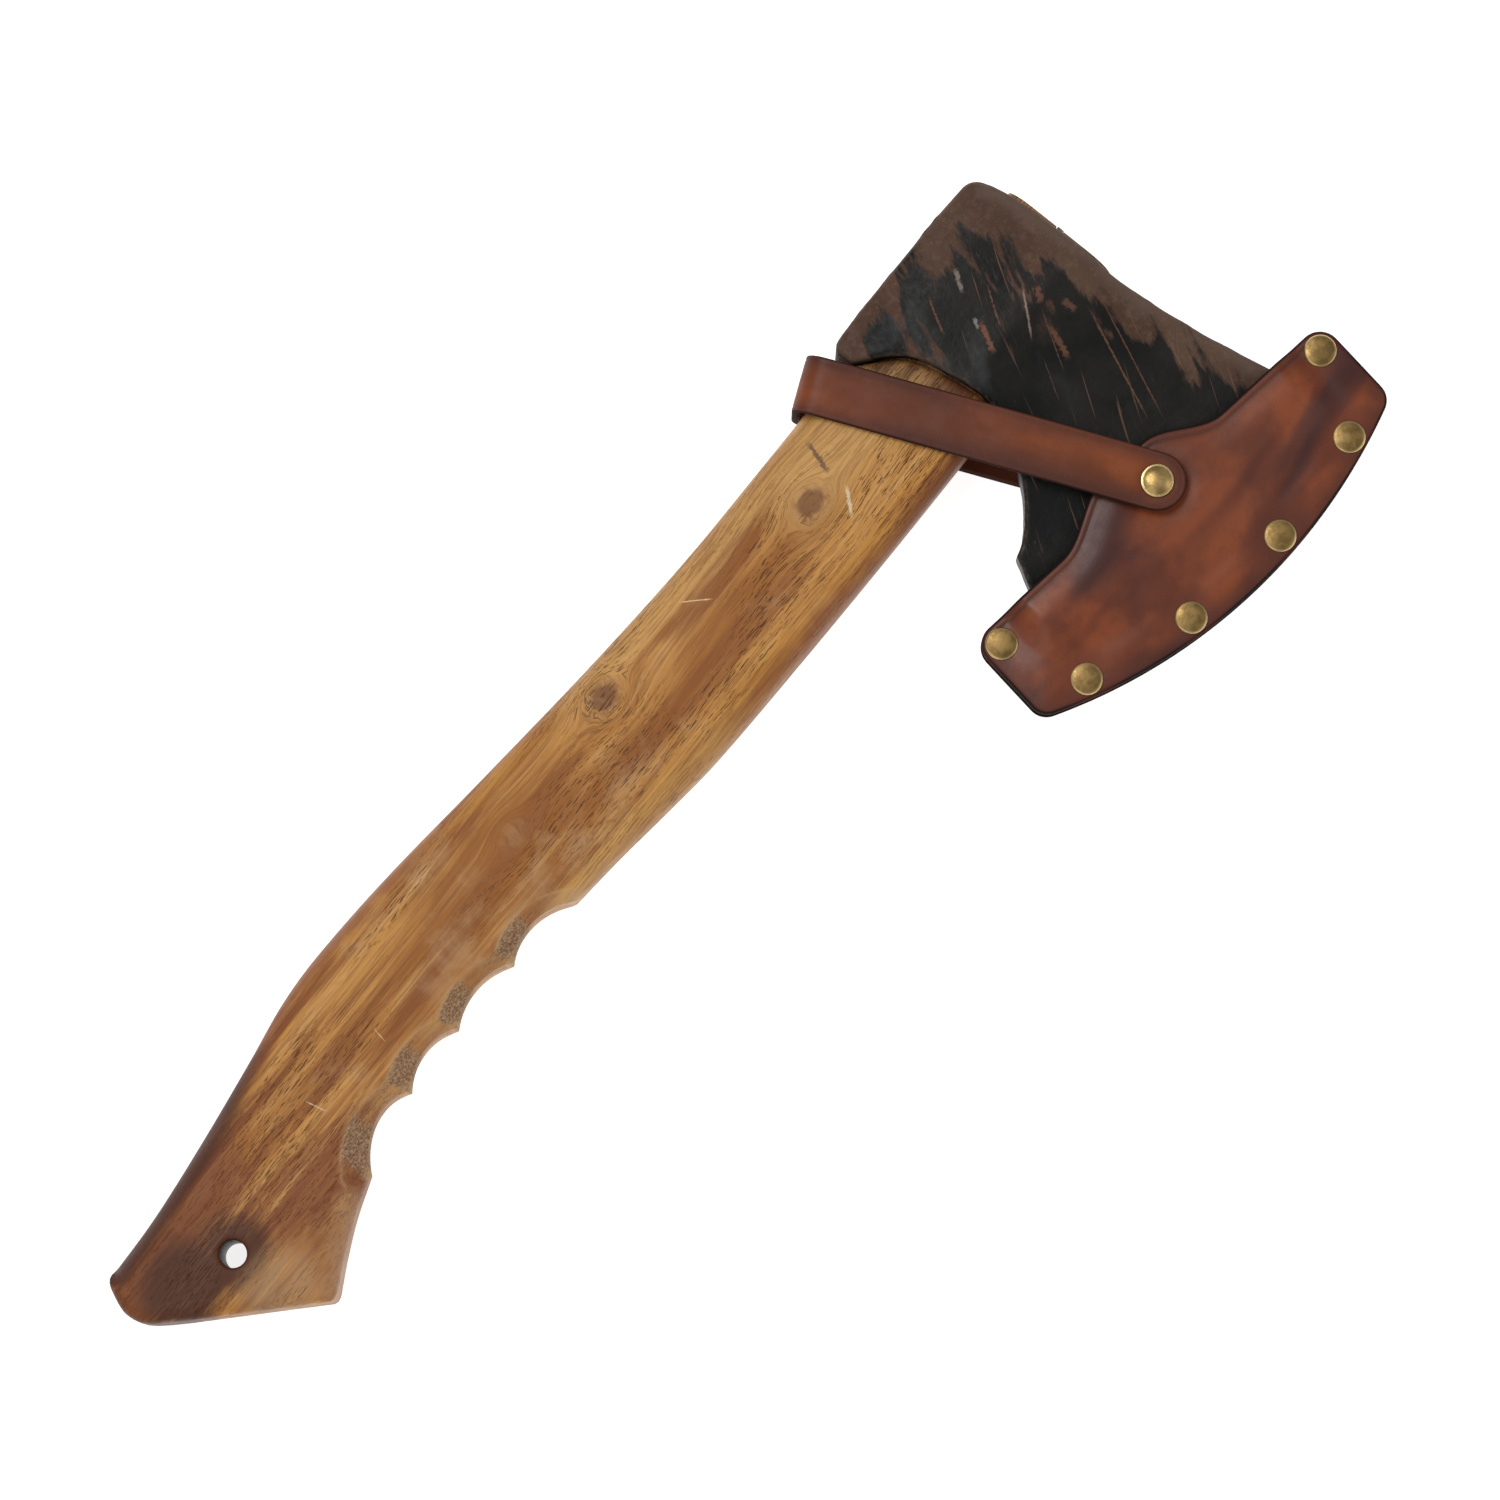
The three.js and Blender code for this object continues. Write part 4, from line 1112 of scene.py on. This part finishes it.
def make_handle():
    poll, butt, swell, grooves, bit, lip = handle_stretches()
    lines = [poll, butt, swell, *grooves, bit, lip]
    loop = np.vstack([resample(line, 1.2)[:-1] for line in lines])
    hole = arc(HOLE_PLACE, HOLE_RADIUS, 0, 360, 40)[:-1]
    cuts = list(zip((3, 2, 1, 0), grooves, strict=True))
    creases = [groove_crease(i, line, off) for i, line in cuts for off in (-0.3, 0.05, 0.4)]
    insets = (0.3, 0.8, 1.6, 2.7, 4.1, 5.8, 7.8)
    flat = Flat(loop, [hole], spacing=2.3, insets=insets, creases=creases)
    points = flat.points
    stretches = [
        (poll, EDGE_ROUND, EDGE_ROUND, 2), (butt, 3, 2.2, 1.8), (swell, 5, EDGE_ROUND, 2),
        *[(line, groove_band(i, 0), groove_band(i, 1), 1.12) for i, line in cuts],
        (bit, EDGE_ROUND, EDGE_ROUND, 2), (lip, 2.2, 2.2, 1.6),
        (np.vstack([hole, hole[:1]]), 1.0, 1.0, 1.6),
    ]
    height = rounded(handle_half(points[:, 0]), stretches, points)
    waver = rough(points * (0.4, 1), 16, 3.0) * 0.14
    handle = flat.body("handle_wood", height + waver - 0.14, -height - waver + 0.14, from_bench, 5)
    combine(handle, make_tenon(), "UNION")
    paint_handle(handle, cuts, poll, butt, swell, bit, lip)
    return finished(handle, WOOD, "wood", "axe", "handle")


def block(name, size, middle):
    """A plain block, used as a cutting tool."""
    corners = [(x, y, z) for x in (-0.5, 0.5) for y in (-0.5, 0.5) for z in (-0.5, 0.5)]
    points = np.array(corners) * size + middle
    faces = [(0, 1, 3, 2), (4, 6, 7, 5), (0, 4, 5, 1), (2, 3, 7, 6), (0, 2, 6, 4), (1, 5, 7, 3)]
    return make_piece(name, from_bench(points), faces)


# ---- mask


def rivet_place(radius, turn):
    return radius * math.sin(math.radians(turn)), radius * math.cos(math.radians(turn))


def mask_stretches():
    """The panel's outline: its inner edge, then the rest of the way round."""
    corner_x = MASK_HALF - OUTER_CORNER
    reach = MASK_RADIUS - OUTER_CORNER
    corner_turn = math.degrees(math.asin(corner_x / reach))
    corner_y = reach * math.cos(math.radians(corner_turn))
    wing_x, wing_y = MASK_HALF - INNER_CORNER, INNER_EDGE + INNER_CORNER
    x = np.linspace(-wing_x, wing_x, 120)
    rise = np.where(x < 0, ease(6, 27, -x), ease(9, 32, x))
    inner = np.column_stack([x, TAB_EDGE + (INNER_EDGE - TAB_EDGE) * rise])
    rest = np.vstack([
        arc((wing_x, wing_y), INNER_CORNER, -90, 0, 10),
        arc((corner_x, corner_y), OUTER_CORNER, 0, 90 - corner_turn, 8),
        arc((0, 0), MASK_RADIUS, 90 - corner_turn, 90 + corner_turn, 140),
        arc((-corner_x, corner_y), OUTER_CORNER, 90 + corner_turn, 180, 8),
        arc((-wing_x, wing_y), INNER_CORNER, 180, 270, 10),
    ])
    return resample(inner, 1.0), resample(rest, 1.0)


def panel_inside(x, y):
    """Height of a panel's inner face: down on the welt along the rim, raised over the blade."""
    _, p = mask_to_bench(x, y)
    over = (1 - ease(46.5, 54.2, np.abs(x))) * (1 - ease(136, 148, np.hypot(x, y)))
    return RIM_HEIGHT + np.maximum(cheek(p) + 0.6 - RIM_HEIGHT, 0) * over


def rivet_away(plan):
    places = [rivet_place(*rivet) for rivet in RIVETS]
    return np.min([np.hypot(plan[:, 0] - x, plan[:, 1] - y) for x, y in places], axis=0)


def pressed_line(plan, inner, width):
    """The line pressed along a panel's inner edge, 1 in its middle."""
    away = distance(plan, inner)[0]
    return ridge(away, PRESSED_LINE, width) * ease(60, 55, np.abs(plan[:, 0]))


def make_panel(name, node, side):
    inner, rest = mask_stretches()
    loop = np.vstack([inner[:-1], rest[:-1]])
    border = np.vstack([loop, loop[:1]])
    flat = Flat(loop, spacing=1.7, insets=(0.25, 0.7, 1.4, 1.9, 2.3, 2.6, 3.1, 4))
    plan = flat.points
    edge = distance(plan, border)[0]
    away = rivet_away(plan)
    button_away = np.hypot(plan[:, 0] - BUTTON[0], plan[:, 1] - BUTTON[1])
    # the leather stands up a little, except at its edges, its rivets and the button
    puff = PANEL_PUFF * (1 - ridge(away, 0, 7.5)) * ease(0, 9, edge) * ease(4, 13, button_away)
    puff += 0.1 * rough(plan, 12, side * 3.0) * ease(0, 5, edge) * ease(5, 9, away)
    puff = np.maximum(puff, 0)
    under = panel_inside(plan[:, 0], plan[:, 1]) + puff * 0.8
    round_off = rounded(np.full(len(plan), float(LEATHER)), [(border, 1.0, 1.0, 2)], plan)
    over = under + round_off + puff * 0.2 - 0.16 * pressed_line(plan, inner, 0.42)
    panel = flat.body(name, side * over, side * (under + 0.35 * ease(0.6, 0, edge)), from_mask, 3)
    places = mask_points(panel)
    plan = places[:, :2]
    outer_face = side * places[:, 2] > panel_inside(plan[:, 0], plan[:, 1]) + LEATHER * 0.4
    paint(
        panel,
        edge=distance(plan, border)[0],
        crease=pressed_line(plan, inner, 0.5) * outer_face,
        # dip: where painted shade darkens the dimple round each rivet
        dip=ease(10.5, 4.8, rivet_away(plan)),
    )
    return finished(panel, MASK_LEATHER, "mask_leather", "sheath", node)


# ---- strap


def climb(start, u):
    """Height of the strap's middle: it rises from the button to its level run."""
    share = np.clip((u - STRAP_FLAT) / (STRAP_CLIMB - STRAP_FLAT), 0, 1)
    return start + (STRAP_RUN_Z - start) * np.sin(np.pi / 2 * share)


def strap_path(side, start):
    """The strap's middle line from its rounded end to half-way down the bend, and its normals."""
    u = np.linspace(-STRAP_HALF, STRAP_TURN - STRAP_BEND_RADIUS, 160)
    run = np.column_stack([u, climb(start, u)])
    centre = (STRAP_TURN - STRAP_BEND_RADIUS, STRAP_RUN_Z - STRAP_BEND_RADIUS)
    corner = arc(centre, STRAP_BEND_RADIUS, 90, 0, 24)[1:]
    drop = np.column_stack([np.full(12, STRAP_TURN), np.linspace(centre[1], 0.01, 13)[1:]])
    path = np.vstack([run, corner, drop])
    ahead = np.gradient(path, axis=0)
    ahead /= np.linalg.norm(ahead, axis=1)[:, None]
    length = np.concatenate([[0], np.cumsum(np.linalg.norm(np.diff(path, axis=0), axis=1))])
    at_button = np.interp(0, u, length[: len(u)])
    return length - at_button, path * (1, side), np.column_stack([-ahead[:, 1], ahead[:, 0] * side])


def make_strap(name, side, start, nodes, bodies):
    """One half of the strap, from its round end to half-way down the bend over the poll side."""
    length, path, normal = strap_path(side, start)
    end = length[-1]
    tip = arc((0, 0), STRAP_HALF, 90, 270, 30)
    low = np.array([(0, -STRAP_HALF), (end, -STRAP_HALF)])
    high = np.array([(end, STRAP_HALF), (0, STRAP_HALF)])
    sides = np.vstack([resample(high, 1.1)[:-1], tip, resample(low, 1.1)[1:]])
    close = resample(np.array([low[-1], high[0]]), 1.1)
    loop = np.vstack([sides, close[1:-1]])
    flat = Flat(loop, spacing=1.8, insets=(0.2, 0.5, 0.9, 1.3, 1.7))
    plan = flat.points
    thick = rounded(np.full(len(plan), STRAP_THICK / 2), [(sides, 0.75, 0.75, 2)], plan)
    away = distance(plan, sides)[0]
    groove = 0.12 * ridge(away, STRAP_LINE, 0.3)
    seat = 0.25 * ease(6.5, 4.2, np.hypot(*plan.T))
    dip = 0.12 * rough(plan, 9, 6.0) * ease(0, 2, away) * ease(end, end - 8, plan[:, 0])

    def place(points):
        s, w, t = points.T
        u, z = (np.interp(s, length, path[:, k]) for k in (0, 1))
        nu, nz = (np.interp(s, length, normal[:, k]) for k in (0, 1))
        return from_strap(np.column_stack([u + t * nu, w, z + t * nz]))

    strap = flat.body(name, thick - groove - seat + dip, -thick + dip * 0.5, place, 3)
    # what the material needs comes from the same flat layout
    table = place(np.column_stack([plan, np.zeros(len(plan))]))
    laid = plan[nearest_rows(vertices(strap), table)]
    border = distance(laid, sides)[0]
    paint(
        strap,
        edge=border + 0.4,
        crease=0.55 * ridge(border, STRAP_LINE, 0.35),
        # dip: where painted shade darkens the dimple round the snap
        dip=0.5 * ease(6.5, 4.6, np.hypot(*laid.T)),
        flat=np.column_stack([laid, np.full(len(laid), side * 40.0)]),
    )
    finished(strap, STRAP_LEATHER, "strap_leather", None, *nodes)
    centre_z = side * (STRAP_RUN_Z - STRAP_BEND_RADIUS)
    bend_start = from_strap([(STRAP_TURN - STRAP_BEND_RADIUS, 0, side * STRAP_RUN_Z)])[0]
    bend_end = from_strap([(STRAP_TURN, 0, centre_z)])[0]
    first, second = bodies
    if first == "strap_bend":
        bend_start, bend_end = bend_end, bend_start
    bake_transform(strap)
    return strap


def nearest_rows(points, table):
    """For each point, the row of the nearest point in a table."""
    tree = KDTree(len(table))
    for i, q in enumerate(table):
        tree.insert(q, i)
    tree.balance()
    return np.array([tree.find(q)[1] for q in points])


# ---- rivets and snap

# turned faces, as (radius, height) from the axis outwards
CAP = [
    (0, 1.0), (0.8, 0.99), (1.6, 0.96), (2.5, 0.89), (3.3, 0.78), (3.85, 0.66), (4.1, 0.58),
    (4.3, 0.44), (4.44, 0.24), (4.5, 0), (4.42, -0.18), (4.1, -0.26), (1.6, -0.26),
]
SNAP_CAP = [
    (0, 1.6), (0.8, 1.58), (1.6, 1.5), (2.4, 1.36), (3.1, 1.14), (3.65, 0.88), (3.9, 0.74),
    (4.08, 0.72), (4.25, 0.74), (4.42, 0.64), (4.55, 0.42), (4.6, 0.15), (4.5, -0.05), (1.6, -0.12),
]
BASE = [*CAP[:-1], (0.95, CAP[-1][1])]
STACK = RIM_HEIGHT + LEATHER + 0.3


def fastener(name, profile, stem, centre, up, place, material, slot, body, node):
    """A cap or base whose face is a turned profile, with a plain stem below it."""
    outline = [*profile, (profile[-1][0], -stem), (0, -stem)]
    piece = turned(name, outline, centre, up, place)
    places = vertices(piece)
    middle = place([centre])[0]
    from_axis = np.hypot(places[:, 0] - middle[0], places[:, 1] - middle[1]) / MM
    # rim: where the cap's colour gets its painted highlight
    paint(piece, rim=ease(3.75, 4.3, from_axis))
    return finished(piece, material, slot, body, node)


def make_rivets():
    for i, rivet in enumerate(RIVETS, 1):
        x, y = rivet_place(*rivet)
        for part, node, profile, stem, up in (
            ("cap", "cap", CAP, 2 * STACK - 1.4, 1), ("base", "post", BASE, 1.0, -1),
        ):
            fastener(f"rivet_{i}_{part}_brass", profile, stem, (x, y, up * STACK), up, from_mask,
                     AGED_BRASS, "aged_brass", "sheath", f"rivet_{i}_{node}")


def make_snap():
    """The snap's cap, and the cap of the rivet that holds the strap at the back."""
    front = STRAP_FRONT_Z + STRAP_THICK / 2 + 0.1
    fastener("snap_cap_brass", SNAP_CAP, STRAP_THICK + 0.3, (0, 0, front), 1, from_strap,
             BRIGHT_BRASS, "bright_brass", "strap_front", "snap_cap")
    back = STRAP_BACK_Z + STRAP_THICK / 2 + 0.3
    fastener("strap_rivet_cap_brass", CAP, 4.4, (0, 0, -back), -1, from_strap,
             AGED_BRASS, "aged_brass", "sheath", "strap_rivet_cap")


def dress_kept_nodes():
    """The CAD nodes that stay as they are get their materials."""
    for node, material in (
        ("wooden_wedge", WEDGE_WOOD), ("steel_wedge", DULL_STEEL), ("sheath_welt", WELT),
        ("strap_rivet_post", AGED_BRASS), ("snap_stud_post", BRIGHT_BRASS), ("snap_stud", BRIGHT_BRASS),
        ("snap_socket", BRIGHT_BRASS),
    ):
        mesh = frame["nodes"][node].data
        mesh.materials.clear()
        mesh.materials.append(material)


# ---- floor, lights and camera


FLOOR_COLOUR = (0.62, 0.62, 0.62, 1)
FLOOR_GLOW = 0.84
SKY = 0.4
# lights: name, place above the middle, size, watts
LIGHTS = [
    ("key", (0.08, 0.5, 1.25), 0.55, 7.6),
    ("fill", (-0.9, -0.1, 1.0), 0.9, 2.6),
    ("low", (0.55, -0.95, 0.9), 0.8, 2.0),
]


def make_stage():
    bpy.ops.mesh.primitive_plane_add(size=8, location=(0, 0, -0.0002))
    floor = bpy.context.object
    floor.name = "floor"
    g = Graph("pale_floor")
    g.shader.inputs["Emission Color"].default_value = (1, 1, 1, 1)
    g.shader.inputs["Emission Strength"].default_value = FLOOR_GLOW
    floor.data.materials.append(g.finish(FLOOR_COLOUR, 0.9, specular_ior_level=0.1))

    scene = bpy.context.scene
    scene.view_settings.view_transform = "Standard"
    scene.world = bpy.data.worlds.new("studio")
    scene.world.use_nodes = True
    sky = scene.world.node_tree.nodes["Background"]
    sky.inputs[0].default_value = (1, 1, 1, 1)
    # the sky behind everything is as white as the floor, and lights it less than that
    path = scene.world.node_tree.nodes.new("ShaderNodeLightPath")
    strength = scene.world.node_tree.nodes.new("ShaderNodeMix")
    strength.inputs["A"].default_value = SKY
    strength.inputs["B"].default_value = 1.0
    scene.world.node_tree.links.new(path.outputs["Is Camera Ray"], strength.inputs["Factor"])
    scene.world.node_tree.links.new(strength.outputs["Result"], sky.inputs[1])

    middle = Vector(((cad_bounds[0][0] + cad_bounds[1][0]) / 2, 0, 0))
    for name, offset, size, power in LIGHTS:
        lamp = bpy.data.lights.new(name, "AREA")
        lamp.size = size
        lamp.energy = power
        holder = bpy.data.objects.new(name, lamp)
        holder.location = middle + Vector(offset)
        holder.rotation_euler = (middle - holder.location).to_track_quat("-Z", "Y").to_euler()
        bpy.context.collection.objects.link(holder)


SENSOR_WIDTH = 36
CAMERA_TILT = math.radians(5.6)
CAMERA_AWAY = 2.09
VIEW_WIDTH = 0.4062
CAMERA_ROLL = math.radians(-51.04)
CAMERA_TARGET = (156.3, 51.2, 0)  # in the bench frame


def make_camera():
    lens = bpy.data.cameras.new("camera")
    lens.sensor_width = SENSOR_WIDTH
    lens.lens = SENSOR_WIDTH * CAMERA_AWAY / VIEW_WIDTH
    camera = bpy.data.objects.new("camera", lens)
    bpy.context.collection.objects.link(camera)
    right = Vector((math.cos(CAMERA_ROLL), math.sin(CAMERA_ROLL), 0))
    up = Vector((-right.y, right.x, 0))
    back = (Vector((0, 0, 1)) * math.cos(CAMERA_TILT) - up * math.sin(CAMERA_TILT)).normalized()
    target = Vector(from_bench([CAMERA_TARGET])[0])
    camera.location = target + back * CAMERA_AWAY
    view_up = back.cross(right)
    camera.rotation_euler = Matrix((right, view_up, back)).transposed().to_euler()
    bpy.context.scene.camera = camera


make_camera()
make_head()
make_handle()
make_panel("front_panel_leather", "sheath_front_panel", 1)
make_panel("back_panel_leather", "sheath_back_panel", -1)
make_strap("strap_front_leather", 1, STRAP_FRONT_Z, ["strap_front_run"], ("strap_bend", "strap_front"))
make_strap(
    "strap_back_leather", -1, STRAP_BACK_Z, ["strap_back_run", "strap_bend"], ("sheath", "strap_bend")
)
make_rivets()
make_snap()
dress_kept_nodes()
make_stage()
